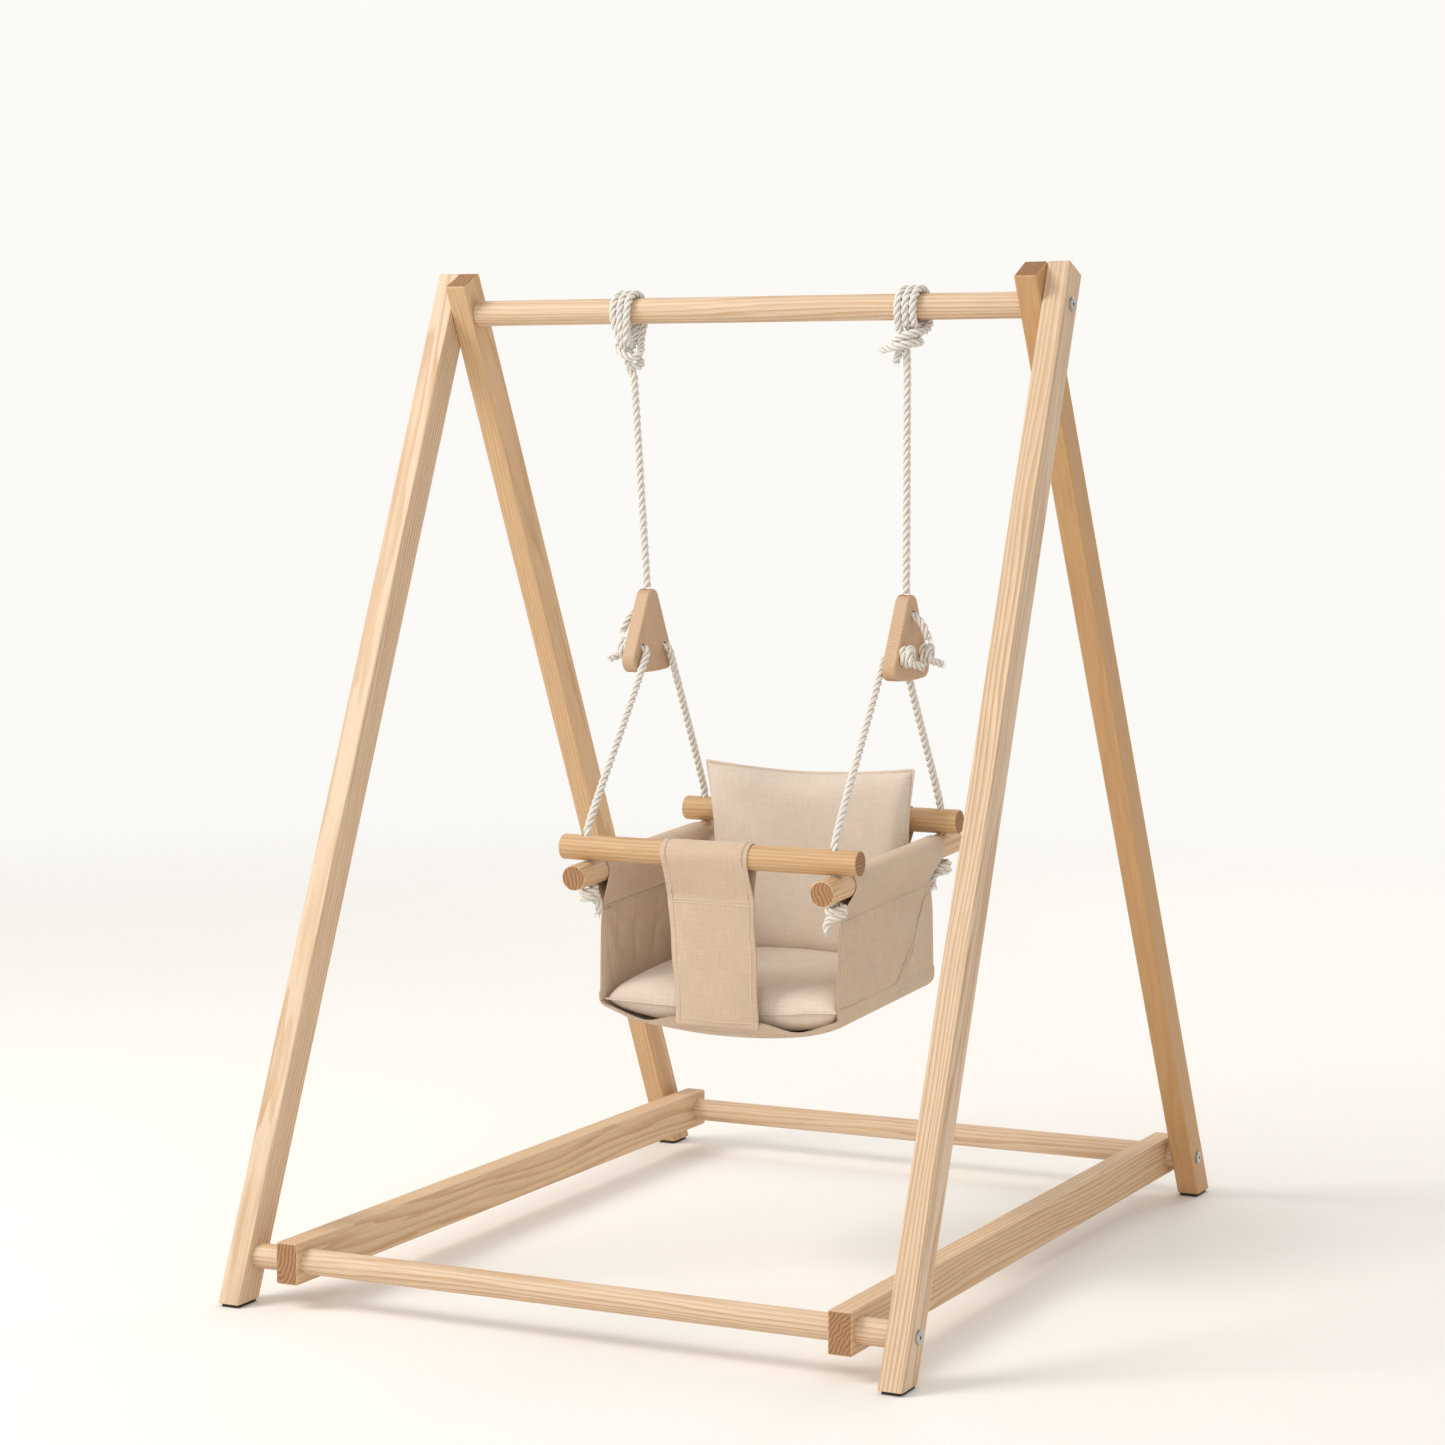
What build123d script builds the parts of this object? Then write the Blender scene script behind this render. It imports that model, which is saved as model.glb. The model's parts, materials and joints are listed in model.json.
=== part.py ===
"""Baby swing: a bolted pine A-frame stand with a canvas bucket seat hung on two cotton ropes.

Millimetres. +Z is up, +Y is towards the back, +X is the right-hand side seen from the front.
The origin is on the floor, under the middle of the stand's box.
"""

from build123d import *
import math
import os

# Stand: two A-frames, a top bar and a floor frame
PIVOT_Z = 1110.0  # height of the top bar's axis
FRONT_REACH = 460.0  # from the top bar's plane forward to the front feet
REAR_REACH = 552.0  # and back to the rear feet
PIVOT_Y = (FRONT_REACH - REAR_REACH) / 2
LEG_THICK = 27.5
LEG_WIDTH = 39.0
LEG_OVER = 41.0  # how far a leg runs on above the top bar's axis
REAR_LEG_IN = 350.0  # inner face of the rear leg, at the top bar
FRONT_LEG_IN = REAR_LEG_IN + LEG_THICK  # the front leg lies against its outer face
SPLAY = 0.47  # degrees that each A-frame leans outwards
WOOD_EDGE = 2.5  # rounding of the sawn edges
TOP_BAR_R = 15.0
FLOOR_BAR_R = 14.25
FLOOR_BAR_Z = 52.0
RAIL_IN = 322.0  # inner face of a side rail
RAIL_THICK = 27.5
RAIL_HEIGHT = 47.0
RAIL_OVER = 22.0  # how far a rail runs on past the floor bars
PAD_THICK = 4.0
PAD_MARGIN = 2.5  # a foot pad is this much smaller than the leg all round
END_GAP = 0.1  # between the end of a bar and the leg it is bolted to

# Fasteners
BOLT_R = 3.0
BOLT_HOLE_R = 3.3
BOLT_HEAD_R = 7.5
BOLT_HEAD_THICK = 2.6
BOLT_HEAD_EDGE = 0.8
SOCKET_R = 2.3  # across the corners of the hexagonal key socket
SOCKET_DEPTH = 1.8
INSERT_R = 5.0
INSERT_LENGTH = 16.0
INSERT_HOLE_DEPTH = 20.0
BOLT_IN_INSERT = 14.0
FIT = 0.05  # radial play between an insert and its hole, a bolt and its thread

# Hanging ropes
ROPE_R = 4.0
SWING_X = 42.0  # the seat hangs this far right of the stand's middle
HITCH_MIDDLE_X = 31.0  # and the middle of the two rope hitches is this far right of it
HITCH_X = 177.0  # from the hitches' middle to a rope, at the top bar
PLATE_X = 166.0  # from the seat's middle to a wooden plate
SOFT_GAP = 0.3  # between soft parts and what they lie against
HITCH_WIDTH = 34.0
HITCH_R = TOP_BAR_R + 2 * ROPE_R + 1.0
HITCH_KNOT_DROP = 45.0  # from the top bar's axis down to the knot's middle
HITCH_KNOT_R = 13.0
HITCH_NECK_R = 9.0

# Triangular plates
PLATE_TOP = 785.0
PLATE_HEIGHT = 95.0
PLATE_BASE = 57.0  # half of the base before its corners are rounded
PLATE_APEX = 111.6  # height before the top corner is rounded
PLATE_CORNER_R = 14.0
PLATE_BOW = 3.0  # how far the bottom edge bulges
PLATE_THICK = 18.0
PLATE_EDGE = 3.0
PLATE_HOLE_R = 5.0
PLATE_HOLE_Y = 28.0
PLATE_HOLE_DROP = 69.0
JOINT_RISE = 2.0  # the rope's end turns on a centre this far above the plate
SOCKET_PLAY = 0.5  # round the rope's rounded end
TAIL_HOLE_DROP = 23.0  # the hanging rope leaves the plate's outer face here
PIVOT_LOW_Z = PLATE_TOP + JOINT_RISE

# Seat: four bars that carry a canvas bucket. Local frame: middle of the bars, level with the front bar.
SEAT_Z = 504.0
SEAT_TILT = 3.0  # degrees that the front hangs lower than the back
SEAT_BACK = -19.3  # middle of the seat from the ropes' plane, which puts its weight under the ropes
BAR_R = 14.5
BAR_END_EDGE = 2.0
CROSS_X = 155.0  # where the bars cross
CROSS_Y = 150.0
FRONT_BAR_LENGTH = 372.0
REAR_BAR_LENGTH = 360.0
SIDE_BAR_LENGTH = 374.0
SIDE_BAR_Z = -(2 * BAR_R + SOFT_GAP)
ROPE_HOLE_R = 5.0
ROPE_BEND_RISE = 17.0  # a rope bends this far above the upper bar's axis
LOWER_KNOT_R = 10.0
UPPER_KNOT_R = 11.0
TAIL_LENGTH = 26.0

# Canvas
CLOTH = 3.0
SLEEVE_R = BAR_R + SOFT_GAP + 2.2
SLEEVE_HALF = 128.0  # half length of a side sleeve
PANEL_X = 150.0
PANEL_HALF = 134.0
FLOOR_Z = -204.0  # where the side panels meet the seat's bottom
FLOOR_SAG = 14.0
FLOOR_HALF_X = PANEL_X - CLOTH / 2 - SOFT_GAP
FLOOR_FRONT = -140.0
BACK_Y = 135.5
BACK_SLEEVE_HALF = 118.0
BACK_HALF_TOP = 134.0
BACK_HALF_LOW = 147.0
BACK_SHOULDER = -56.0  # below here the back is as wide as the seat
STRAP_HALF = 54.0
STRAP_TOP_R = BAR_R + SOFT_GAP + CLOTH
STRAP_FOOT_Z = -208.0

# Cushions
SEAT_CUSHION = (284.0, 262.0, 36.0)
BACK_CUSHION = (266.0, 44.0, 232.0)
CUSHION_EDGE = 14.0
CUSHION_GAP = 1.0
COVER = 3.0  # a cushion is a hollow cover: the fibre that fills it weighs little

SIDES = {"left": -1, "right": 1}
BASE = (Align.CENTER, Align.CENTER, Align.MIN)


def across_x(radius, length, x, y, z):
    """A cylinder along X, centred on a point."""
    return Pos(x, y, z) * Rot(Y=90) * Cylinder(radius, length)


def along_y(radius, length, x, y, z):
    """A cylinder along Y, centred on a point."""
    return Pos(x, y, z) * Rot(X=90) * Cylinder(radius, length)


def rod(start, end, radius):
    """A cylinder from one point to another."""
    axis = Vector(*end) - Vector(*start)
    return Plane(origin=start, z_dir=axis) * Cylinder(radius, axis.length, align=BASE)


def rope_through(points):
    """A rope through a list of points, with a ball a little proud of it where it turns."""
    runs = [rod(start, end, ROPE_R) for start, end in zip(points, points[1:])]
    turns = [Pos(*point) * Sphere(ROPE_R + FIT) for point in points[1:-1]]
    return runs[0].fuse(*runs[1:], *turns)


def rounded_bar(radius, length):
    """A dowel along X with rounded ends."""
    bar = across_x(radius, length, 0, 0, 0)
    return fillet(bar.edges().filter_by(GeomType.CIRCLE), BAR_END_EDGE)


def leg_face(inner, z):
    """X of a leg's long face at a height, for a face that is at inner beside the top bar."""
    splay = math.radians(SPLAY)
    return inner / math.cos(splay) + (PIVOT_Z - z) * math.tan(splay)


def reach_y(reach, z):
    """Y of a leg's middle line at a height. Reach is negative for the front legs."""
    return PIVOT_Y + reach * (PIVOT_Z - z) / PIVOT_Z


def leg(side, inner, reach):
    """One leg, cut square above the top bar and level with the floor below."""
    lean = math.degrees(math.atan2(reach, PIVOT_Z))
    length = math.hypot(reach, PIVOT_Z) + LEG_WIDTH
    stick = Pos(inner + LEG_THICK / 2, 0, LEG_OVER) * Box(
        LEG_THICK, LEG_WIDTH, length + LEG_OVER, align=(Align.CENTER, Align.CENTER, Align.MAX)
    )
    long_edges = stick.edges().filter_by(Axis.Z)
    top_edges = stick.faces().sort_by(Axis.Z)[-1].edges()
    stick = fillet(list(long_edges) + list(top_edges), WOOD_EDGE)
    stick = Pos(0, PIVOT_Y, PIVOT_Z) * Rot(Y=-SPLAY) * Rot(X=lean) * stick
    below_floor = Pos(0, 0, PAD_THICK) * Box(3000, 3000, 500, align=(Align.CENTER, Align.CENTER, Align.MAX))
    stick -= below_floor
    for y, z in ((PIVOT_Y, PIVOT_Z), (reach_y(reach, FLOOR_BAR_Z), FLOOR_BAR_Z)):
        stick -= across_x(BOLT_HOLE_R, 4 * LEG_THICK, leg_face(inner + LEG_THICK / 2, z), y, z)
    return stick if side > 0 else mirror(stick, about=Plane.YZ)


def foot_pad(side, inner, reach):
    """A thin dark pad under one leg, rounded at its corners."""
    depth = LEG_WIDTH * math.hypot(reach, PIVOT_Z) / PIVOT_Z - 2 * PAD_MARGIN
    x = side * leg_face(inner + LEG_THICK / 2, PAD_THICK)
    pad = Pos(x, reach_y(reach, PAD_THICK), 0) * Box(LEG_THICK - 2 * PAD_MARGIN, depth, PAD_THICK, align=BASE)
    return fillet(pad.edges().filter_by(Axis.Z), PAD_MARGIN)


def bolted_bar(radius, half, y, z):
    """A stand bar along X with a blind hole in each end for a threaded insert."""
    bar = across_x(radius, 2 * half, 0, y, z)
    for side in SIDES.values():
        middle = side * (half - INSERT_HOLE_DEPTH / 2)
        bar -= across_x(INSERT_R + FIT, INSERT_HOLE_DEPTH, middle, y, z)
    return bar


def side_rail(side):
    """A floor rail with the two floor bars passing through it."""
    front = reach_y(-FRONT_REACH, FLOOR_BAR_Z)
    rear = reach_y(REAR_REACH, FLOOR_BAR_Z)
    rail = Box(RAIL_THICK, rear - front + 2 * RAIL_OVER, RAIL_HEIGHT)
    rail = fillet(rail.edges(), WOOD_EDGE)
    rail = Pos(side * (RAIL_IN + RAIL_THICK / 2), (front + rear) / 2, FLOOR_BAR_Z) * rail
    for y in (front, rear):
        rail -= across_x(FLOOR_BAR_R + FIT, 4 * RAIL_THICK, side * RAIL_IN, y, FLOOR_BAR_Z)
    return rail


def insert_nut(side, half, y, z):
    """A threaded insert set into the end of a bar."""
    middle = side * (half - INSERT_LENGTH / 2)
    nut = across_x(INSERT_R, INSERT_LENGTH, middle, y, z)
    return nut - across_x(BOLT_R + FIT, INSERT_LENGTH + 1, middle, y, z)


def bolt(side, face, half, y, z):
    """A flat-headed bolt with a hexagonal key socket, from the leg's outer face into the insert."""
    tip = half - BOLT_IN_INSERT
    seat = face + END_GAP
    head = across_x(BOLT_HEAD_R, BOLT_HEAD_THICK, seat + BOLT_HEAD_THICK / 2, y, z)
    head = fillet(head.edges().sort_by(Axis.X)[-1], BOLT_HEAD_EDGE)
    socket = extrude(Plane.YZ * RegularPolygon(SOCKET_R, 6), SOCKET_DEPTH)
    head -= Pos(seat + BOLT_HEAD_THICK - SOCKET_DEPTH, y, z) * socket
    shank = across_x(BOLT_R, seat - tip, (seat + tip) / 2, y, z)
    whole = head + shank
    return whole if side > 0 else mirror(whole, about=Plane.YZ)


def hanging_rope(side):
    """The straight run of a hanging rope, ending in a ball that turns in the plate's top."""
    top = (rope_x(side, PIVOT_Z - HITCH_KNOT_DROP), PIVOT_Y, PIVOT_Z - HITCH_KNOT_DROP)
    end = (SWING_X + side * PLATE_X, PIVOT_Y, PIVOT_LOW_Z)
    rope = rod(top, end, ROPE_R) + Pos(*end) * Sphere(ROPE_R)
    return rope - Pos(*top) * Sphere(HITCH_KNOT_R + FIT)


def rope_x(side, z):
    """X of a hanging rope at a height."""
    upper = HITCH_MIDDLE_X + side * HITCH_X
    lower = SWING_X + side * PLATE_X
    share = (PIVOT_Z - z) / (PIVOT_Z - PIVOT_LOW_Z)
    return upper + share * (lower - upper)


def rope_hitch(side):
    """The rope's round turns on the top bar and the knot under them, as one closed shape."""
    x = rope_x(side, PIVOT_Z)
    knot_z = PIVOT_Z - HITCH_KNOT_DROP
    hitch = across_x(HITCH_R, HITCH_WIDTH, x, PIVOT_Y, PIVOT_Z)
    hitch = fillet(hitch.edges().filter_by(GeomType.CIRCLE), ROPE_R)
    hitch += Pos(x, PIVOT_Y, knot_z) * Cylinder(HITCH_NECK_R, HITCH_KNOT_DROP, align=BASE)
    hitch += Pos(rope_x(side, knot_z), PIVOT_Y, knot_z) * Sphere(HITCH_KNOT_R)
    return hitch - across_x(TOP_BAR_R + SOFT_GAP, 2 * HITCH_WIDTH, x, PIVOT_Y, PIVOT_Z)


def plate(side):
    """A triangular plate: two holes for the seat's ropes, one from the top for the hanging rope."""
    x = SWING_X + side * PLATE_X
    bottom = PLATE_TOP - PLATE_HEIGHT
    corners = ((-PLATE_BASE, 0), (PLATE_BASE, 0))
    outline = Polyline(corners[1], (0, PLATE_APEX), corners[0])
    outline += ThreePointArc(corners[0], (0, -PLATE_BOW), corners[1])
    face = make_face(outline)
    face = fillet(face.vertices(), PLATE_CORNER_R)
    body = extrude(Plane.YZ * face, PLATE_THICK / 2, both=True)
    flat_faces = body.faces().filter_by(Axis.X)
    body = fillet(flat_faces.edges(), PLATE_EDGE)
    body = Pos(x, PIVOT_Y, bottom) * body
    for end in (-1, 1):
        hole_y = PIVOT_Y + end * PLATE_HOLE_Y
        body -= across_x(PLATE_HOLE_R, 2 * PLATE_THICK, x, hole_y, PLATE_TOP - PLATE_HOLE_DROP)
    tail_z = PLATE_TOP - TAIL_HOLE_DROP
    body -= Pos(x, PIVOT_Y, tail_z) * Cylinder(PLATE_HOLE_R, 2 * TAIL_HOLE_DROP, align=BASE)
    body -= Pos(x, PIVOT_Y, tail_z) * Sphere(PLATE_HOLE_R)
    body -= across_x(PLATE_HOLE_R, PLATE_THICK, x + side * PLATE_THICK / 2, PIVOT_Y, tail_z)
    return body - Pos(x, PIVOT_Y, PIVOT_LOW_Z) * Sphere(ROPE_R + SOCKET_PLAY + SOFT_GAP)


def rope_tail(side):
    """The hanging rope's end: down inside the plate, out of its outer face and hanging there."""
    x = SWING_X + side * PLATE_X
    tail_z = PLATE_TOP - TAIL_HOLE_DROP
    out = x + side * (PLATE_THICK / 2 + ROPE_R + 2)
    points = [
        (x, PIVOT_Y, PIVOT_LOW_Z - ROPE_R - SOCKET_PLAY),
        (x, PIVOT_Y, tail_z),
        (out, PIVOT_Y, tail_z),
        (out + side * 8, PIVOT_Y + 6, tail_z - TAIL_LENGTH),
    ]
    return rope_through(points)


def seat_place(x, y, z):
    """A point given in the seat's local frame, in the object's frame."""
    return SEAT_FRAME * Pos(x, y, z)


def seat_rope(side, end):
    """A short rope from a plate, down through the two crossing bars, with a knot at each end."""
    plate_x = SWING_X + PLATE_X
    hole = (PIVOT_Y + end * PLATE_HOLE_Y, PLATE_TOP - PLATE_HOLE_DROP)
    upper_x = plate_x + PLATE_THICK / 2 + UPPER_KNOT_R
    bend = seat_place(CROSS_X, end * CROSS_Y, ROPE_BEND_RISE).position
    under = SIDE_BAR_Z - BAR_R - LOWER_KNOT_R
    knot = seat_place(CROSS_X, end * CROSS_Y, under).position
    tail = seat_place(CROSS_X, end * (CROSS_Y + 4), under - TAIL_LENGTH).position
    points = [
        (upper_x, *hole),
        (plate_x - PLATE_THICK / 2 - ROPE_R - SOFT_GAP, *hole),
        tuple(bend),
        tuple(knot),
        tuple(tail),
    ]
    rope = rope_through(points)
    rope += Pos(upper_x, *hole) * Sphere(UPPER_KNOT_R)
    rope += Pos(*knot) * Sphere(LOWER_KNOT_R - SOFT_GAP)
    return rope if side > 0 else mirror(rope, about=Plane.YZ.offset(SWING_X))


def cross_bar(length, y):
    """The front or the rear bar, with a rope hole near each end."""
    bar = rounded_bar(BAR_R, length)
    for side in SIDES.values():
        bar -= Pos(side * CROSS_X, 0, 0) * Cylinder(ROPE_HOLE_R, 4 * BAR_R)
    return seat_place(0, y, 0) * bar


def side_bar(side):
    """A bar under the front and rear bars, with a rope hole near each end."""
    bar = rounded_bar(BAR_R, SIDE_BAR_LENGTH)
    for end in (-1, 1):
        bar -= Pos(end * CROSS_Y, 0, 0) * Cylinder(ROPE_HOLE_R, 4 * BAR_R)
    return seat_place(side * CROSS_X, 0, SIDE_BAR_Z) * Rot(Z=90) * bar


def canvas_side(side):
    """A side panel of the canvas with the sleeve that holds it on its bar."""
    sleeve = along_y(SLEEVE_R, 2 * SLEEVE_HALF, side * CROSS_X, 0, SIDE_BAR_Z)
    top = SIDE_BAR_Z - BAR_R
    panel = Pos(side * PANEL_X, 0, FLOOR_Z) * Box(CLOTH, 2 * PANEL_HALF, top - FLOOR_Z, align=BASE)
    whole = sleeve + panel
    whole -= along_y(BAR_R + SOFT_GAP, 2 * PANEL_HALF + 1, side * CROSS_X, 0, SIDE_BAR_Z)
    return SEAT_FRAME * whole


def canvas_back():
    """The back panel with the sleeve that holds it on the rear bar."""
    sleeve = across_x(SLEEVE_R, 2 * BACK_SLEEVE_HALF, 0, CROSS_Y, 0)
    upper = Pos(0, BACK_Y, BACK_SHOULDER) * Box(2 * BACK_HALF_TOP, CLOTH, -BACK_SHOULDER - BAR_R / 2, align=BASE)
    lower = Pos(0, BACK_Y, FLOOR_Z) * Box(2 * BACK_HALF_LOW, CLOTH, BACK_SHOULDER - FLOOR_Z, align=BASE)
    whole = sleeve + upper + lower
    return SEAT_FRAME * (whole - across_x(BAR_R + SOFT_GAP, 3 * BACK_SLEEVE_HALF, 0, CROSS_Y, 0))


def canvas_floor():
    """The seat's bottom, sagging between the side panels."""
    ends = ((-FLOOR_HALF_X, 0), (FLOOR_HALF_X, 0))
    line = ThreePointArc(ends[0], (0, -FLOOR_SAG), ends[1])
    line += Line(ends[1], (FLOOR_HALF_X, -CLOTH))
    line += ThreePointArc((FLOOR_HALF_X, -CLOTH), (0, -FLOOR_SAG - CLOTH), (-FLOOR_HALF_X, -CLOTH))
    line += Line((-FLOOR_HALF_X, -CLOTH), ends[0])
    depth = BACK_Y - CLOTH / 2 - SOFT_GAP - FLOOR_FRONT
    sheet = extrude(Plane.XZ * make_face(line), -depth)
    return seat_place(0, FLOOR_FRONT, FLOOR_Z) * sheet


def crotch_strap():
    """The wide strap from the bottom's front edge, looped over the front bar."""
    foot = (FLOOR_FRONT - CLOTH, STRAP_FOOT_Z)
    neck = (-CROSS_Y - CLOTH / 2, -BAR_R)
    sheet = make_face(
        Polyline(foot, neck, (neck[0] + CLOTH, neck[1]), (foot[0] + CLOTH - SOFT_GAP, foot[1]), foot)
    )
    strap = extrude(Plane.YZ * sheet, STRAP_HALF, both=True)
    strap += across_x(STRAP_TOP_R, 2 * STRAP_HALF, 0, -CROSS_Y, 0)
    return SEAT_FRAME * (strap - across_x(BAR_R + SOFT_GAP, 3 * STRAP_HALF, 0, -CROSS_Y, 0))


def cushion(size, y, z):
    """A plain hollow cushion standing on its underside, rounded all over."""
    block = Box(*size)
    inside = Box(*(length - 2 * COVER for length in size))
    cover = fillet(block.edges(), CUSHION_EDGE) - fillet(inside.edges(), CUSHION_EDGE - COVER)
    return seat_place(0, y, z + size[2] / 2) * cover


SEAT_FRAME = Pos(SWING_X, PIVOT_Y + SEAT_BACK, SEAT_Z) * Rot(X=SEAT_TILT)


def stand_nodes():
    """Every piece of the stand."""
    nodes = {}
    legs = {"front": (FRONT_LEG_IN, -FRONT_REACH), "rear": (REAR_LEG_IN, REAR_REACH)}
    for name, side in SIDES.items():
        for end, (inner, reach) in legs.items():
            nodes[f"{end}_leg_{name}"] = leg(side, inner, reach)
            nodes[f"foot_pad_{end}_{name}"] = foot_pad(side, inner, reach)
        nodes[f"side_rail_{name}"] = side_rail(side)

    top_half = leg_face(REAR_LEG_IN, PIVOT_Z + TOP_BAR_R) - END_GAP
    nodes["top_bar"] = bolted_bar(TOP_BAR_R, top_half, PIVOT_Y, PIVOT_Z)
    ends = [(top_half, FRONT_LEG_IN, PIVOT_Y, PIVOT_Z)]
    for end, (inner, reach) in legs.items():
        half = leg_face(inner, FLOOR_BAR_Z + FLOOR_BAR_R) - END_GAP
        y = reach_y(reach, FLOOR_BAR_Z)
        nodes[f"{end}_floor_bar"] = bolted_bar(FLOOR_BAR_R, half, y, FLOOR_BAR_Z)
        ends.append((half, inner, y, FLOOR_BAR_Z))

    bolts = []
    inserts = []
    for half, inner, y, z in ends:
        outer_face = leg_face(inner + LEG_THICK, z)
        bolts.append([bolt(side, outer_face, half, y, z).solid() for side in SIDES.values()])
        inserts += [insert_nut(side, half, y, z).solid() for side in SIDES.values()]
    nodes["top_bolts"] = Compound(bolts[0])
    nodes["floor_bolts"] = Compound(bolts[1] + bolts[2])
    nodes["insert_nuts"] = Compound(inserts)
    return nodes


def swing_nodes():
    """Every piece that swings."""
    nodes = {}
    for name, side in SIDES.items():
        nodes[f"hanging_rope_{name}"] = hanging_rope(side)
        nodes[f"rope_hitch_{name}"] = rope_hitch(side)
        nodes[f"plate_{name}"] = plate(side)
        nodes[f"rope_tail_{name}"] = rope_tail(side)
        nodes[f"side_bar_{name}"] = side_bar(side)
        nodes[f"canvas_side_{name}"] = canvas_side(side)
        for end_name, end in (("front", -1), ("rear", 1)):
            nodes[f"seat_rope_{end_name}_{name}"] = seat_rope(side, end)
    nodes["front_bar"] = cross_bar(FRONT_BAR_LENGTH, -CROSS_Y)
    nodes["rear_bar"] = cross_bar(REAR_BAR_LENGTH, CROSS_Y)
    nodes["canvas_back"] = canvas_back()
    nodes["canvas_floor"] = canvas_floor()
    nodes["crotch_strap"] = crotch_strap()
    front_gap = FLOOR_FRONT + SEAT_CUSHION[1] / 2 + CUSHION_EDGE / 2
    nodes["seat_cushion"] = cushion(SEAT_CUSHION, front_gap, FLOOR_Z + CUSHION_GAP)
    back_y = CROSS_Y - SLEEVE_R - CUSHION_GAP - BACK_CUSHION[1] / 2
    back_z = FLOOR_Z + SEAT_CUSHION[2] + 2 * CUSHION_GAP
    nodes["back_cushion"] = cushion(BACK_CUSHION, back_y, back_z)
    return nodes


os.makedirs("parts", exist_ok=True)
for node, shape in {**stand_nodes(), **swing_nodes()}.items():
    export_step(shape, f"parts/{node}.step")
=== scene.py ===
"""The looks of the baby swing: a pine stand, cotton ropes, a canvas seat and two cushions.

Metres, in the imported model's frame: +Z up, +Y to the back, +X to the right seen from the front.
The seat frame is the seat's own tilted frame, with its origin midway between the front and the rear bar.
"""

import json
import math
import random

import bpy
import numpy as np
from mathutils import Euler, Matrix, Vector


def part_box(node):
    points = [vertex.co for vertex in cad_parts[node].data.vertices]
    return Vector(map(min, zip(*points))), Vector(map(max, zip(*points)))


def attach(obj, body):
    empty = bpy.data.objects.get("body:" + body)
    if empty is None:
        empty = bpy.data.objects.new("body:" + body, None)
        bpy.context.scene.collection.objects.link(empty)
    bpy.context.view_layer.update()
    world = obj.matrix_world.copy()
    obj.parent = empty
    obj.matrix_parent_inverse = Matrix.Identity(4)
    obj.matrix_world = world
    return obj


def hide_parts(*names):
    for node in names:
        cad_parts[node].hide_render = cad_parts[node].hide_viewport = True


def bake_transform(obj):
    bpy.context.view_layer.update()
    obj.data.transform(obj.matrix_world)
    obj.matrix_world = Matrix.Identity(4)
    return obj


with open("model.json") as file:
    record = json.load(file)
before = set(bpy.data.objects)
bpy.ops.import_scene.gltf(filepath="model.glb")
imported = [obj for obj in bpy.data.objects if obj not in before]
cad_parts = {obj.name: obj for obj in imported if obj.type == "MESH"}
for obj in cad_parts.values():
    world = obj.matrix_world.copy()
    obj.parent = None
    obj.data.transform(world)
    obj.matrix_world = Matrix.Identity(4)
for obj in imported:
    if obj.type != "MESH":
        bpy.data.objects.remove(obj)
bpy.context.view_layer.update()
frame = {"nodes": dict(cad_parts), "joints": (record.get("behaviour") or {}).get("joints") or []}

SIDES = {"left": -1, "right": 1}
ENDS = {"front": -1, "rear": 1}
PINE_ACROSS = ("top_bar", "front_floor_bar", "rear_floor_bar", "front_bar", "rear_bar")

# Camera
CAMERA_PLACE = (1.7817, -3.7036, 0.9777)
CAMERA_PITCH = 85.127
CAMERA_TURN = 26.287
LENS = 87.13
SENSOR = 36.0

# Rope
ROPE_R = 0.0048
ROPE_LAY = 0.027
STRAND_OUT = 0.48  # a strand's distance from the rope's middle, in rope radii
STRAND_R = 0.525  # a strand's radius, in rope radii
STRAND_SIDES = 12
ROPE_STEP = 0.0016
FRAY_STEPS = 2  # steps at a frayed end where the strands have come apart
FIBRES = 26  # at each frayed end
FIBRE_LENGTHS = (0.0035, 0.0078)
FIBRE_RADII = (0.0002, 0.00042)
TURN_R = 0.0217  # control radius of a turn whose rope lies on the top bar
TURN_PITCH = 0.0094  # from one turn on the top bar to the next
KNOT_TURN_R = 0.0088

# Cloth
CANVAS = 0.0013  # thickness
CELL = 0.004
SEAM_LIFT = 0.0013  # between the two layers of a sleeve's seam
SEAM_DROP = 0.036  # from a bar's axis down to its sleeve's seam
HEM_GAP = 0.0012  # between a sheet and its turned hem
SIDE_HEM_GAP = 0.0011
SEAM_SAMPLES = 160
STITCH_PITCH = 0.0034
STITCH_HALF = 0.00125
STITCH_R = 0.00042
STITCH_LIFT = CANVAS * 0.62  # puts a stitch on a sheet's face
SLEEVE_LIFTS = (STITCH_LIFT, -STITCH_LIFT - SEAM_LIFT)  # the two faces of a sleeve's seam

# Cushions
CUSHION_CELL = 0.0050
PRESSURE = 4.0
FRAMES = 20
MOST_MOVE = 0.03
PLUMP = 0.52  # below 1, it rounds a cushion's edges
SQUARE = 0.32  # how far the filled cushion keeps its flat outline
GATHER_REACH = 0.012
GATHER_HEIGHT = 0.0007
WELT_OUT = 0.0016  # the seam ridge's half width, away from the cushion
WELT_THICK = 0.0009


def middle(node):
    """Middle of a CAD node's box."""
    low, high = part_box(node)
    return (low + high) / 2


def joint(name):
    """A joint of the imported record."""
    return next(made for made in frame["joints"] if made["name"] == name)


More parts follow.
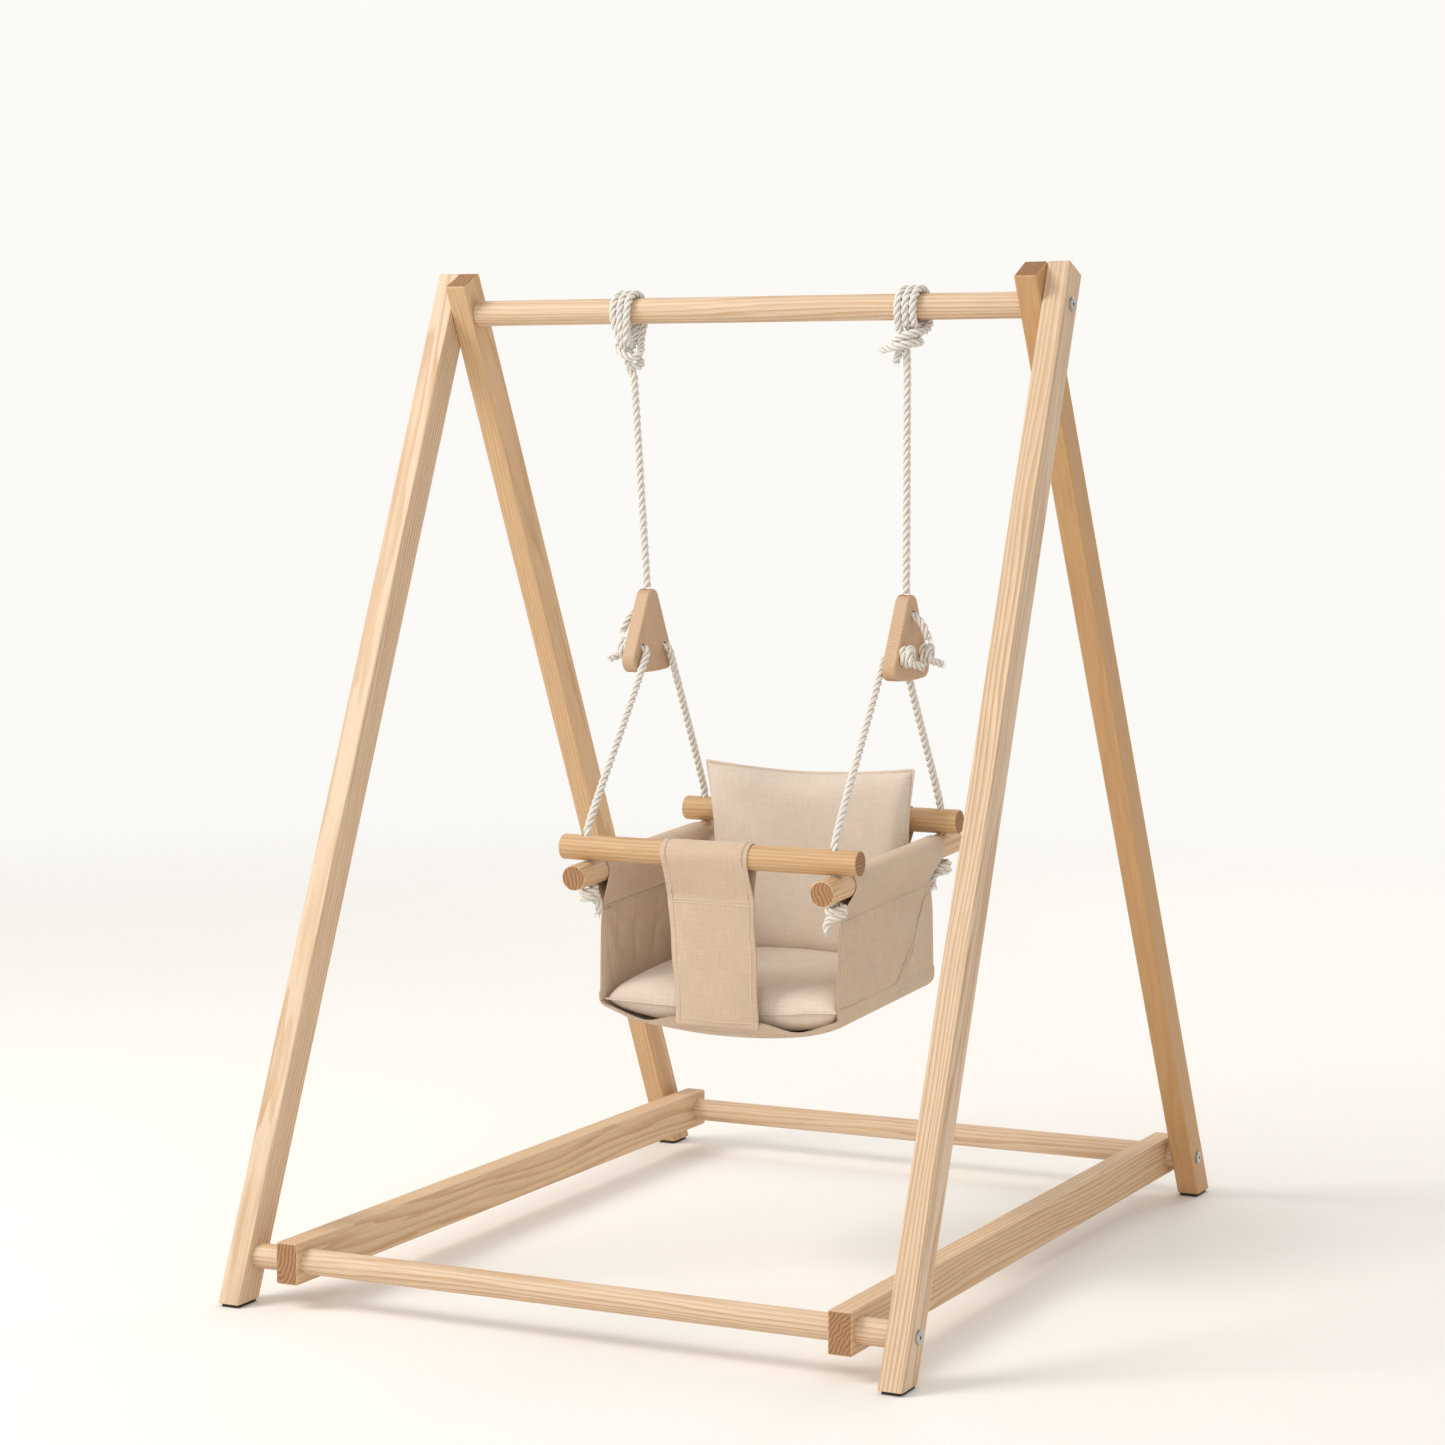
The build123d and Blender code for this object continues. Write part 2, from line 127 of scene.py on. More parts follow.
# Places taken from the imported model
FRONT_BAR = middle("front_bar")
REAR_BAR = middle("rear_bar")
LIFT_AXIS = Vector(joint("front_bar_lift")["axis"])
TILT = math.atan2(-LIFT_AXIS.y, LIFT_AXIS.z)
SEAT = Matrix.Translation((FRONT_BAR + REAR_BAR) / 2) @ Matrix.Rotation(TILT, 4, "X")
INTO_SEAT = SEAT.inverted()
CROSS_Y = (REAR_BAR - FRONT_BAR).length / 2
SIDE_BAR = INTO_SEAT @ middle("side_bar_right")
CROSS_X = SIDE_BAR.x
SIDE_BAR_Z = SIDE_BAR.z
BAR_R = (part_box("front_bar")[1].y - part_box("front_bar")[0].y) / 2
TOP_BAR = middle("top_bar")
PANEL_X = CROSS_X - 0.005
SLEEVE_R = BAR_R + 0.0012
SLEEVE_HALF = 0.128
FLOOR_FRONT = -0.140
BACK_Y = 0.1355
BACK_TOP_HALF = 0.118  # half width of the back at its sleeve
BACK_FLARE = 0.0305  # how much wider each half is at the corners
BACK_CORNER_R = 0.012
BOTTOM_SEAM = -0.176
FLOOR_HALF = PANEL_X - 0.0002
CORNER_POWER = 3.6  # higher is squarer, in the bottom's cross section


def seat(x, y, z):
    """A point of the seat frame, in the row frame."""
    return SEAT @ Vector((x, y, z))


def to_row(points):
    """An array of seat-frame points, in the row frame."""
    matrix = np.array(SEAT)
    return points @ matrix[:3, :3].T + matrix[:3, 3]


def smooth(low, high, value):
    """0 below low, 1 above high, and an even rise between."""
    share = np.clip((value - low) / (high - low), 0, 1)
    return share * share * (3 - 2 * share)


# ---------------------------------------------------------------- materials


class Shader:
    """A material with short calls for the nodes used here."""

    def __init__(self, name, roughness, specular=0.5, sheen=0.0, metallic=0.0):
        self.material = bpy.data.materials.new(name)
        self.material.use_nodes = True
        self.tree = self.material.node_tree
        self.surface = self.tree.nodes["Principled BSDF"]
        self.surface.inputs["Roughness"].default_value = roughness
        self.surface.inputs["Specular IOR Level"].default_value = specular
        self.surface.inputs["Sheen Weight"].default_value = sheen
        self.surface.inputs["Metallic"].default_value = metallic

    def feed(self, socket, value):
        if isinstance(value, bpy.types.NodeSocket):
            self.tree.links.new(value, socket)
        else:
            socket.default_value = value

    def node(self, kind, inputs, **settings):
        made = self.tree.nodes.new(kind)
        for key, value in settings.items():
            setattr(made, key, value)
        for key, value in inputs.items():
            self.feed(made.inputs[key], value)
        return made

    def math(self, operation, *values):
        inputs = dict(enumerate(values))
        return self.node("ShaderNodeMath", inputs, operation=operation).outputs[0]

    def times(self, first, second):
        return self.math("MULTIPLY", first, second)

    def plus(self, first, second):
        return self.math("ADD", first, second)

    def vector(self, operation, *values):
        inputs = dict(enumerate(values))
        return self.node("ShaderNodeVectorMath", inputs, operation=operation).outputs[0]

    def scaled(self, vector, x, y, z):
        return self.vector("MULTIPLY", vector, (x, y, z))

    def noise(self, vector, scale=1.0, detail=2.0, roughness=0.5):
        inputs = {"Vector": vector, "Scale": scale, "Detail": detail, "Roughness": roughness}
        return self.node("ShaderNodeTexNoise", inputs).outputs[0]

    def span(self, value, low, high, to_low=0.0, to_high=1.0):
        inputs = {"Value": value, "From Min": low, "From Max": high, "To Min": to_low, "To Max": to_high}
        return self.node("ShaderNodeMapRange", inputs, interpolation_type="SMOOTHSTEP").outputs[0]

    def mix(self, share, first, second, blend="MIX"):
        made = self.node("ShaderNodeMix", {}, data_type="RGBA", blend_type=blend)
        self.feed(made.inputs[0], share)
        self.feed(made.inputs[6], first)
        self.feed(made.inputs[7], second)
        return made.outputs[2]

    def lit(self, tint, tone):
        """A colour times a tone."""
        return self.mix(1.0, tint, self.join(tone, tone, tone), "MULTIPLY")

    def parts(self, vector):
        return self.node("ShaderNodeSeparateXYZ", {0: vector}).outputs

    def join(self, x, y, z):
        return self.node("ShaderNodeCombineXYZ", {0: x, 1: y, 2: z}).outputs[0]

    def object_place(self):
        return self.node("ShaderNodeTexCoord", {}).outputs["Object"]

    def flat_place(self):
        """A cloth's or strand's own flat coordinates, in metres. On a rope's strand the third value masks the
        shade painted into its grooves.
        """
        return self.node("ShaderNodeAttribute", {}, attribute_name="flat").outputs["Vector"]

    def colour(self, value):
        self.feed(self.surface.inputs["Base Color"], value)

    def bump(self, height, distance, strength=1.0):
        inputs = {"Height": height, "Distance": distance, "Strength": strength}
        self.feed(self.surface.inputs["Normal"], self.node("ShaderNodeBump", inputs).outputs[0])


def toned(tint, red, green, blue):
    """A colour with each of its channels scaled."""
    return (tint[0] * red, tint[1] * green, tint[2] * blue, 1)


def board_place(shader, place, grain, shift):
    """A board's own coordinates, with z along its grain."""
    turned = Vector(grain).to_track_quat("Z", "Y").to_euler()
    inputs = {"Vector": shader.object_place(), "Location": place, "Rotation": turned}
    local = shader.node("ShaderNodeMapping", inputs, vector_type="TEXTURE").outputs[0]
    return shader.vector("ADD", local, (0, 0, shift))


def late_wood(shader, local, pith, spacing):
    """From 0 in a ring's pale early wood to 1 in its dark late wood, with uneven, swaying rings."""
    slow = shader.noise(shader.scaled(local, 9, 9, 1.6), detail=2)
    sway = shader.times(shader.math("SUBTRACT", slow, 0.5), 0.034)
    x, y, _ = shader.parts(shader.vector("ADD", local, pith))
    radius = shader.math("SQRT", shader.plus(shader.times(x, x), shader.times(y, y)))
    fine = shader.noise(shader.scaled(local, 160, 160, 7), detail=3)
    turns = shader.times(shader.plus(radius, sway), 1 / spacing)
    uneven = shader.noise(shader.scaled(local, 75, 75, 2.2), detail=1)
    turns = shader.plus(turns, shader.times(fine, 0.5))
    turns = shader.plus(turns, shader.times(uneven, 1.6))
    share = shader.math("FRACT", turns)
    return shader.times(shader.span(share, 0.25, 0.9), shader.span(share, 1.0, 0.92))


def end_share(shader, grain):
    """1 on the faces cut across the grain, 0 along it."""
    inputs = {0: shader.node("ShaderNodeTexCoord", {}).outputs["Normal"], 1: Vector(grain)}
    along = shader.node("ShaderNodeVectorMath", inputs, operation="DOT_PRODUCT").outputs[1]
    return shader.span(shader.math("ABSOLUTE", along), 0.75, 0.95)


def wood(name, place, grain, seed, pale, dark, spacing, contrast, end_tone=0.56):
    """Sawn or turned wood: growth rings about a pith outside the piece, fibres and end grain."""
    shader = Shader(name, 0.5, specular=0.35)
    chance = random.Random(seed)
    turn = chance.uniform(0, 2 * math.pi)
    pith = Vector((math.cos(turn), math.sin(turn), 0)) * chance.uniform(0.035, 0.075)
    local = board_place(shader, place, grain, chance.uniform(0, 10))
    late = late_wood(shader, local, pith, spacing)
    patch = shader.noise(shader.scaled(local, 30, 30, 1.2))
    strength = shader.span(patch, 0.3, 0.7, 0.45 * contrast, contrast)
    fibre = shader.noise(shader.scaled(local, 900, 900, 22), detail=3, roughness=0.65)
    tone = shader.noise(shader.scaled(local, 14, 14, 1.1), detail=2)
    base = shader.mix(shader.times(late, strength), pale, dark)
    warm = shader.times(shader.span(tone, 0.35, 0.75), 0.55)
    base = shader.mix(warm, base, WARM_PATCH, "MULTIPLY")
    base = shader.lit(base, shader.span(fibre, 0.3, 0.72, 0.86, 1.04))
    cut = shader.mix(shader.times(late, 0.75), pale, toned(dark, 0.7, 0.7, 0.7))
    cut = shader.mix(1.0, cut, (end_tone, end_tone * 0.77, end_tone * 0.58, 1), "MULTIPLY")
    shader.colour(shader.mix(end_share(shader, grain), base, cut))
    shader.feed(shader.surface.inputs["Roughness"], shader.span(fibre, 0.2, 0.8, 0.42, 0.6))
    shader.bump(shader.math("SUBTRACT", fibre, shader.times(late, 0.8)), 0.00025, 0.5)
    return shader.material


def weave_height(shader, flat, pitch):
    """Height of a plain weave, 0 to 1, with threads of uneven thickness."""
    wander = shader.noise(shader.scaled(flat, 260, 260, 1), detail=1)
    shift = shader.times(wander, 0.0004)
    x, y, _ = shader.parts(flat)
    heights = []
    for first, second in ((x, y), (y, x)):
        across = shader.times(shader.plus(first, shift), math.pi / pitch)
        over = shader.times(second, math.pi / pitch)
        thread = shader.math("ABSOLUTE", shader.math("SINE", across))
        lift = shader.times(shader.math("COSINE", across), shader.math("COSINE", over))
        sign = 0.35 if first is x else -0.35
        lift = shader.plus(shader.times(lift, sign), 0.65)
        heights.append(shader.times(thread, lift))
    return shader.math("MAXIMUM", heights[0], heights[1])


def woven(name, tint, pitch, slub, sheen, weave_hollow_shade):
    """A plain-woven cotton cloth with slubs, thread by thread tone and a soft sheen, with shade painted into
    the low places of the weave.
    """
    shader = Shader(name, 0.88, specular=0.18, sheen=sheen)
    shader.surface.inputs["Sheen Roughness"].default_value = 0.55
    flat = shader.flat_place()
    height = weave_height(shader, flat, pitch)
    warp = shader.noise(shader.scaled(flat, 1100, 34, 1), detail=2, roughness=0.6)
    weft = shader.noise(shader.scaled(flat, 34, 1100, 1), detail=2, roughness=0.6)
    cloud = shader.noise(shader.scaled(flat, 16, 16, 1), detail=3)
    threads = shader.plus(warp, weft)
    tone = shader.span(threads, 0.7, 1.3, 1 - slub, 1 + slub * 0.6)
    tone = shader.times(tone, shader.span(cloud, 0.3, 0.7, 0.965, 1.02))
    # painted shade: the weave's low places between the threads are darkened
    tone = shader.times(tone, shader.span(height, 0.0, 0.8, weave_hollow_shade, 1.0))
    shader.colour(shader.lit(tint, tone))
    relief = shader.plus(height, shader.times(threads, 0.7))
    shader.bump(relief, 0.0003, 0.6)
    return shader.material


def cotton(name, tint):
    """Spun cotton: a strand's fine yarns run round it, against its lay. Shade is painted into the grooves
    between the strands, masked by the third flat value.
    """
    shader = Shader(name, 0.9, specular=0.15, sheen=0.2)
    flat = shader.flat_place()
    x, y, outer = shader.parts(flat)
    lean = shader.plus(shader.times(x, 3600), shader.times(y, 1500))
    rough = shader.noise(shader.scaled(flat, 900, 260, 1), detail=3, roughness=0.6)
    yarn = shader.math("SINE", shader.plus(lean, shader.times(rough, 3.0)))
    yarn = shader.span(yarn, -1.0, 1.0)
    cloud = shader.span(rough, 0.25, 0.75, 0.93, 1.02)
    tone = shader.times(shader.span(yarn, 0, 1, 0.93, 1.0), cloud)
    # painted shade: the tint darkens from a strand's outer top into the grooves between strands
    crown = shader.span(outer, 0.28, 0.78)
    tinted = shader.mix(crown, GROOVE_SHADE_TINT, tint)
    shader.colour(shader.lit(tinted, tone))
    shader.bump(shader.plus(yarn, rough), 0.00015, 0.5)
    return shader.material


def speckled(name, tint, roughness, grain_size, depth, metallic=0.0):
    """A plain hard material with fine grain and slight tone variation."""
    shader = Shader(name, roughness, metallic=metallic)
    place = shader.object_place()
    fine = shader.noise(place, scale=1 / grain_size, detail=3)
    cloud = shader.span(shader.noise(place, scale=60, detail=2), 0.3, 0.7, 0.9, 1.05)
    tone = shader.times(shader.span(fine, 0.3, 0.7, 0.88, 1.05), cloud)
    shader.colour(shader.lit(tint, tone))
    shader.bump(fine, depth, 0.5)
    return shader.material


PINE_PALE = (0.765, 0.585, 0.415, 1)
# painted shade: the warm tint darkens the left rear leg, which gets less direct light; it also tints the
# front and rear bars
PINE_WARM = (0.69, 0.46, 0.26, 1)
PINE_HONEY = (0.76, 0.545, 0.345, 1)
# painted shade: the darkest pine tint, for the right rear leg, which gets the least direct light
PINE_DEEP_SHADE = (0.62, 0.375, 0.18, 1)
PINE_DARK = (0.52, 0.30, 0.14, 1)
BEECH_PALE = (0.62, 0.425, 0.275, 1)
BEECH_DARK = (0.47, 0.29, 0.165, 1)
CANVAS_TINT = (0.665, 0.51, 0.375, 1)
CUSHION_TINT = (0.765, 0.66, 0.555, 1)
ROPE_TINT = (0.87, 0.84, 0.785, 1)
GROOVE_SHADE_TINT = (0.60, 0.56, 0.50, 1)  # painted shade: the darker tint of the grooves between a rope's strands, where the strands shade each other
WARM_PATCH = (0.93, 0.86, 0.76, 1)  # multiplies the warmer patches of a board
FLOOR_TINT = (0.90, 0.885, 0.86, 1)
THREAD_TINT = (0.82, 0.72, 0.60, 1)

CANVAS_CLOTH = woven("canvas_cloth", CANVAS_TINT, 0.00085, 0.11, 0.2, 0.86)
CUSHION_CLOTH = woven("cushion_cloth", CUSHION_TINT, 0.0006, 0.08, 0.25, 0.9)
COTTON = cotton("rope_cotton", ROPE_TINT)
THREAD = cotton("sewing_thread", THREAD_TINT)
STEEL = speckled("satin_steel", (0.5, 0.5, 0.5, 1), 0.32, 0.0006, 0.00003, metallic=1.0)
BRASS = speckled("turned_brass", (0.72, 0.52, 0.24, 1), 0.3, 0.0006, 0.00003, metallic=1.0)
RUBBER = speckled("dark_rubber", (0.028, 0.024, 0.022, 1), 0.7, 0.0009, 0.0001)


# ---------------------------------------------------------------- camera, light and floor


def make_camera():
    data = bpy.data.cameras.new("camera")
    data.lens = LENS
    data.sensor_width = SENSOR
    camera = bpy.data.objects.new("camera", data)
    camera.location = CAMERA_PLACE
    camera.rotation_euler = Euler((math.radians(CAMERA_PITCH), 0, math.radians(CAMERA_TURN)))
    bpy.context.scene.collection.objects.link(camera)
    bpy.context.scene.camera = camera


def area_light(name, place, aim, size, power, tint):
    data = bpy.data.lights.new(name, "AREA")
    data.size = size
    data.energy = power
    data.color = tint
    light = bpy.data.objects.new(name, data)
    light.location = place
    light.rotation_euler = (Vector(aim) - Vector(place)).to_track_quat("-Z", "Y").to_euler()
    bpy.context.scene.collection.objects.link(light)


def make_lights():
    target = (0, 0, 0.45)
    area_light("key_light", (-2.6, -2.4, 3.4), target, 2.0, 122, (1.0, 0.965, 0.92))
    area_light("fill_light", (1.5, -3.8, 1.5), target, 2.4, 26, (1.0, 0.94, 0.87))
    area_light("back_light", (0.4, 3.6, 2.8), target, 3.0, 50, (1.0, 0.96, 0.92))


def make_world():
    """A pale room: what the camera sees behind the object is a little brighter than what lights it."""
    world = bpy.data.worlds.new("pale_room")
    world.use_nodes = True
    tree = world.node_tree
    lighting = tree.nodes["Background"]
    lighting.inputs["Color"].default_value = (1.0, 0.975, 0.94, 1)
    lighting.inputs["Strength"].default_value = 0.66
    seen = tree.nodes.new("ShaderNodeBackground")
    seen.inputs["Color"].default_value = (0.975, 0.955, 0.92, 1)
    seen.inputs["Strength"].default_value = 1.0
    ray = tree.nodes.new("ShaderNodeLightPath")
    mixed = tree.nodes.new("ShaderNodeMixShader")
    tree.links.new(ray.outputs["Is Camera Ray"], mixed.inputs[0])
    tree.links.new(lighting.outputs[0], mixed.inputs[1])
    tree.links.new(seen.outputs[0], mixed.inputs[2])
    tree.links.new(mixed.outputs[0], tree.nodes["World Output"].inputs["Surface"])
    bpy.context.scene.world = world


def make_floor():
    """A pale round floor that thins out into the room's own tone."""
    radius = 9.0
    steps = 96
    turns = [2 * math.pi * k / steps for k in range(steps)]
    edge = [(radius * math.cos(turn), radius * math.sin(turn), 0) for turn in turns]
    mesh = bpy.data.meshes.new("floor")
    mesh.from_pydata(edge, [], [list(range(steps))])
    floor = bpy.data.objects.new("floor", mesh)
    bpy.context.scene.collection.objects.link(floor)
    shader = Shader("floor_paper", 0.85, specular=0.15)
    place = shader.object_place()
    x, y, _ = shader.parts(place)
    distance = shader.math("SQRT", shader.plus(shader.times(x, x), shader.times(y, y)))
    fine = shader.noise(place, scale=900, detail=2)
    shader.colour(shader.lit(FLOOR_TINT, shader.span(fine, 0.3, 0.7, 0.985, 1.0)))
    shader.feed(shader.surface.inputs["Alpha"], shader.span(distance, 1.2, 5.0, 1.0, 0.0))
    mesh.materials.append(shader.material)


# ---------------------------------------------------------------- mesh tools


def new_object(name, points, faces, flat, material, slot):
    """A smooth-shaded mesh piece. flat holds each point's place on the flat cloth or strand. On a strand, its
    third value masks the shade painted into the rope's grooves.
    """
    mesh = bpy.data.meshes.new(name)
    mesh.from_pydata([tuple(point) for point in points], [], faces)
    mesh.polygons.foreach_set("use_smooth", [True] * len(mesh.polygons))
    place = mesh.attributes.new("flat", "FLOAT_VECTOR", "POINT")
    place.data.foreach_set("vector", np.asarray(flat, np.float32).ravel())
    mesh.materials.append(material)
    made = bpy.data.objects.new(name, mesh)
    bpy.context.scene.collection.objects.link(made)
    return made


def grid_faces(rows, columns, first=0, closed=False):
    """Quads between the rows of a grid whose points are stored row by row."""
    faces = []
    across = columns if closed else columns - 1
    for row in range(rows - 1):
        for column in range(across):
            after = (column + 1) % columns
            start = first + row * columns
            below = start + columns
            faces.append((start + column, start + after, below + after, below + column))
    return faces


def arc_lengths(grid, axis):
    """How far along its own line each grid point lies, measured from the line's middle."""
    steps = np.linalg.norm(np.diff(grid, axis=axis), axis=2)
    total = np.cumsum(steps, axis=axis)
    start = np.zeros_like(np.take(total, [0], axis=axis))
    total = np.concatenate([start, total], axis=axis)
    return total - np.take(total, [-1], axis=axis) / 2


def flat_places(grid):
    """Each grid point's place on the flat cloth."""
    across = arc_lengths(grid, 1)
    along = arc_lengths(grid, 0)
    return np.stack([across, along, np.zeros_like(across)], axis=2)


def distances(points):
    """How far along a line each of its points lies."""
    steps = np.linalg.norm(np.diff(points, axis=0), axis=1)
    return np.concatenate([[0], np.cumsum(steps)])


def spread(points, count):
    """That many points, evenly spaced along the same line."""
    points = np.asarray(points, float)
    reached = distances(points)
    wanted = np.linspace(0, reached[-1], count)
    return np.stack([np.interp(wanted, reached, column) for column in points.T], axis=1)


def even(points, step):
    """Points along the same line, evenly spaced about a step apart."""
    length = distances(np.asarray(points, float))[-1]
    return spread(points, max(2, int(round(length / step)) + 1))


def ring(centre, across, up, sides):
    """Points round a centre, on an ellipse with these two half axes."""
    turns = [2 * math.pi * k / sides for k in range(sides)]
    return [centre + across * math.cos(turn) + up * math.sin(turn) for turn in turns]


def unit(vectors):
    """Vectors of length 1 in the same directions."""
    return vectors / np.maximum(np.linalg.norm(vectors, axis=-1, keepdims=True), 1e-12)


def grid_normals(grid):
    down = np.gradient(grid, axis=0)
    across = np.gradient(grid, axis=1)
    return unit(np.cross(across, down))


def on_grid(grid, down, across):
    """Points between the grid's own, for arrays of shares down and across."""
    rows, columns = grid.shape[:2]
    row = np.clip(down, 0, 1) * (rows - 1)
    column = np.clip(across, 0, 1) * (columns - 1)
    upper_row = np.minimum(row.astype(int), rows - 2)
    left = np.minimum(column.astype(int), columns - 2)
    below = (row - upper_row)[:, None]
    right = (column - left)[:, None]
    upper = grid[upper_row, left] * (1 - right) + grid[upper_row, left + 1] * right
    lower = grid[upper_row + 1, left] * (1 - right) + grid[upper_row + 1, left + 1] * right
    return upper * (1 - below) + lower * below


def sheet(name, grids, replaced):
    """A sheet of canvas as one piece. Its first grid is the whole sheet, the others are its turned hems."""
    points = []
    flats = []
    faces = []
    for grid in grids:
        faces += grid_faces(grid.shape[0], grid.shape[1], first=len(points))
        points += list(grid.reshape(-1, 3))
        flats += list(flat_places(grid).reshape(-1, 3))
    made = new_object(name, points, faces, flats, CANVAS_CLOTH, "canvas")
    solid = made.modifiers.new("thickness", "SOLIDIFY")
    solid.thickness = CANVAS
    solid.offset = 0
    round_edges(made)
    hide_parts(replaced)
    return made


def round_edges(made):
    """Rounds a piece off with one level of subdivision."""
    rounded = made.modifiers.new("round_edges", "SUBSURF")
    rounded.levels = 1
    rounded.render_levels = 1


def seam(grid, start, end, lift):
    """A line of stitches from one place on a grid to another, each given as shares down and across."""
    down = np.linspace(start[0], end[0], SEAM_SAMPLES)
    across = np.linspace(start[1], end[1], SEAM_SAMPLES)
    coarse = np.hstack([on_grid(grid, down, across), on_grid(grid_normals(grid), down, across)])
    line = even(coarse, STITCH_PITCH)
    places = line[:, :3]
    normals = unit(line[:, 3:])
    directions = unit(np.gradient(places, axis=0))
    return places + normals * lift, directions, normals * math.copysign(1, lift)


def stitches(name, lines):
    """Rows of stitches, each a short thread that dips into the cloth at both ends."""
    stations = ((-1.0, 0.35, -0.9), (-0.55, 1.0, 0.35), (0.55, 1.0, 0.35), (1.0, 0.35, -0.9))
    sides = 6
    points = []
    flats = []
    faces = []
    for places, directions, normals in lines:
        for place, direction, normal in zip(places[:-1], directions, normals):
            beside = np.cross(direction, normal)
            first = len(points)
            for along, size, height in stations:
                centre = place + direction * along * STITCH_HALF + normal * height * STITCH_R
                points += ring(centre, beside * size * STITCH_R, normal * size * STITCH_R, sides)
                flats += [(2 * math.pi * k / sides * STITCH_R, along * STITCH_HALF, 1) for k in range(sides)]
            faces += grid_faces(len(stations), sides, first=first, closed=True)
            faces.append(tuple(range(first, first + sides)))
            faces.append(tuple(range(len(points) - 1, len(points) - 1 - sides, -1)))
    return new_object(name, points, faces, flats, THREAD, "canvas")


# ---------------------------------------------------------------- rope


def smooth_line(points):
    """Points read from the NURBS spline that has these control points."""
    curve = bpy.data.curves.new("route", "CURVE")
    curve.dimensions = "3D"
    curve.resolution_u = 14
    spline = curve.splines.new("NURBS")
    spline.points.add(len(points) - 1)
    for point, place in zip(spline.points, points):
        point.co = (*place, 1)
    spline.order_u = 3
    spline.use_endpoint_u = True
    holder = bpy.data.objects.new("route", curve)
    mesh = bpy.data.meshes.new_from_object(holder)
    line = np.array([vertex.co for vertex in mesh.vertices])
    bpy.data.meshes.remove(mesh)
    bpy.data.objects.remove(holder)
    bpy.data.curves.remove(curve)
    return even(line, ROPE_STEP)


def carried_frames(line):
    """Tangent, normal and side at each point of a line, turned no more than the line itself."""
    tangents = unit(np.gradient(line, axis=0))
    side = np.cross(tangents[0], (1.0, 0.31, 0.17))
    normals = []
    for tangent in tangents:
        side = unit(side - tangent * np.dot(side, tangent))
        normals.append(side)
    normals = np.array(normals)
    return tangents, normals, np.cross(tangents, normals)


def strand_mesh(line, frays):
    """Points, faces and flat places of a three-strand rope, with loose fibres at its frayed ends."""
    line = line[FRAY_STEPS if "start" in frays else 0:]
    line = line[:-FRAY_STEPS] if "end" in frays else line
    tangents, normals, sides = carried_frames(line)
    reached = distances(line)
    count = len(line)
    radius = STRAND_R * ROPE_R
    points = []
    flats = []
    faces = []
    for strand in range(3):
        twist = 2 * math.pi * (reached / ROPE_LAY + strand / 3)
        outward = normals * np.cos(twist)[:, None] + sides * np.sin(twist)[:, None]
        centres = line + outward * STRAND_OUT * ROPE_R
        around = np.cross(tangents, outward)
        first = len(points)
        for k in range(STRAND_SIDES):
            angle = 2 * math.pi * k / STRAND_SIDES
            points += list(centres + (outward * math.cos(angle) + around * math.sin(angle)) * radius)
            # 1 on a strand's outer top, 0 where it faces into the rope: the mask of the shade painted into
            # the grooves
            outer = (1 + math.cos(angle)) / 2
            flats += [(angle * radius, along, outer) for along in reached]
            here = first + k * count
            there = first + (k + 1) % STRAND_SIDES * count
            faces += [(here + i, there + i, there + i + 1, here + i + 1) for i in range(count - 1)]
        faces.append(tuple(first + k * count for k in reversed(range(STRAND_SIDES))))
        faces.append(tuple(first + k * count + count - 1 for k in range(STRAND_SIDES)))
    for end in frays:
        index = 0 if end == "start" else count - 1
        outwards = -tangents[0] if end == "start" else tangents[-1]
        add_fray(points, flats, faces, line[index], outwards, normals[index], sides[index])
    return points, faces, flats


def add_fray(points, flats, faces, tip, outwards, normal, side):
    """Loose fibres that splay from a cut end."""
    chance = random.Random(int(abs(tip[0] * 7919 + tip[1] * 104729 + tip[2] * 1299709) * 1000))
    stations = 5
    corners = 4
    for _ in range(FIBRES):
        turn = chance.uniform(0, 2 * math.pi)
        out = ROPE_R * 0.85 * math.sqrt(chance.random())
        length = chance.uniform(*FIBRE_LENGTHS)
        splay = chance.uniform(0.0, 0.0018)
        radius = chance.uniform(*FIBRE_RADII)
        away = normal * math.cos(turn) + side * math.sin(turn)
        beside = np.cross(outwards, away)
        first = len(points)
        for station in range(stations):
            share = station / (stations - 1)
            centre = tip + away * (out + splay * share * share) + outwards * (length * share - 0.0015)
            size = radius * (1 - 0.7 * share)
            points += ring(centre, away * size, beside * size, corners)
            flats += [(math.pi / 2 * corner * size, length * share, 1) for corner in range(corners)]
        faces += grid_faces(stations, corners, first=first, closed=True)
        faces.append(tuple(range(len(points) - corners, len(points))))


def rope(name, route, replaced, body=None, frays=()):
    """A taut three-strand rope along a route's control points."""
    line = smooth_line(route)
    made = new_object(name, *strand_mesh(line, frays), COTTON, "cotton_rope")
    if replaced:
        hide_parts(*replaced)
    if body is not None:
        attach(made, body)
    return made


def bar_turn(x_start, x_end, low_points):
    """One turn of rope round the top bar, going up in front and down behind, then through its low points."""
    points = []
    angles = (-14, 31, 76, 121, 166, 194)  # degrees
    for k, angle in enumerate(angles):
        share = k / len(angles)
        turn = math.radians(angle)
        x = x_start + (x_end - x_start) * share
        points.append((x, -TURN_R * math.cos(turn), TURN_R * math.sin(turn)))
    return points + list(low_points)


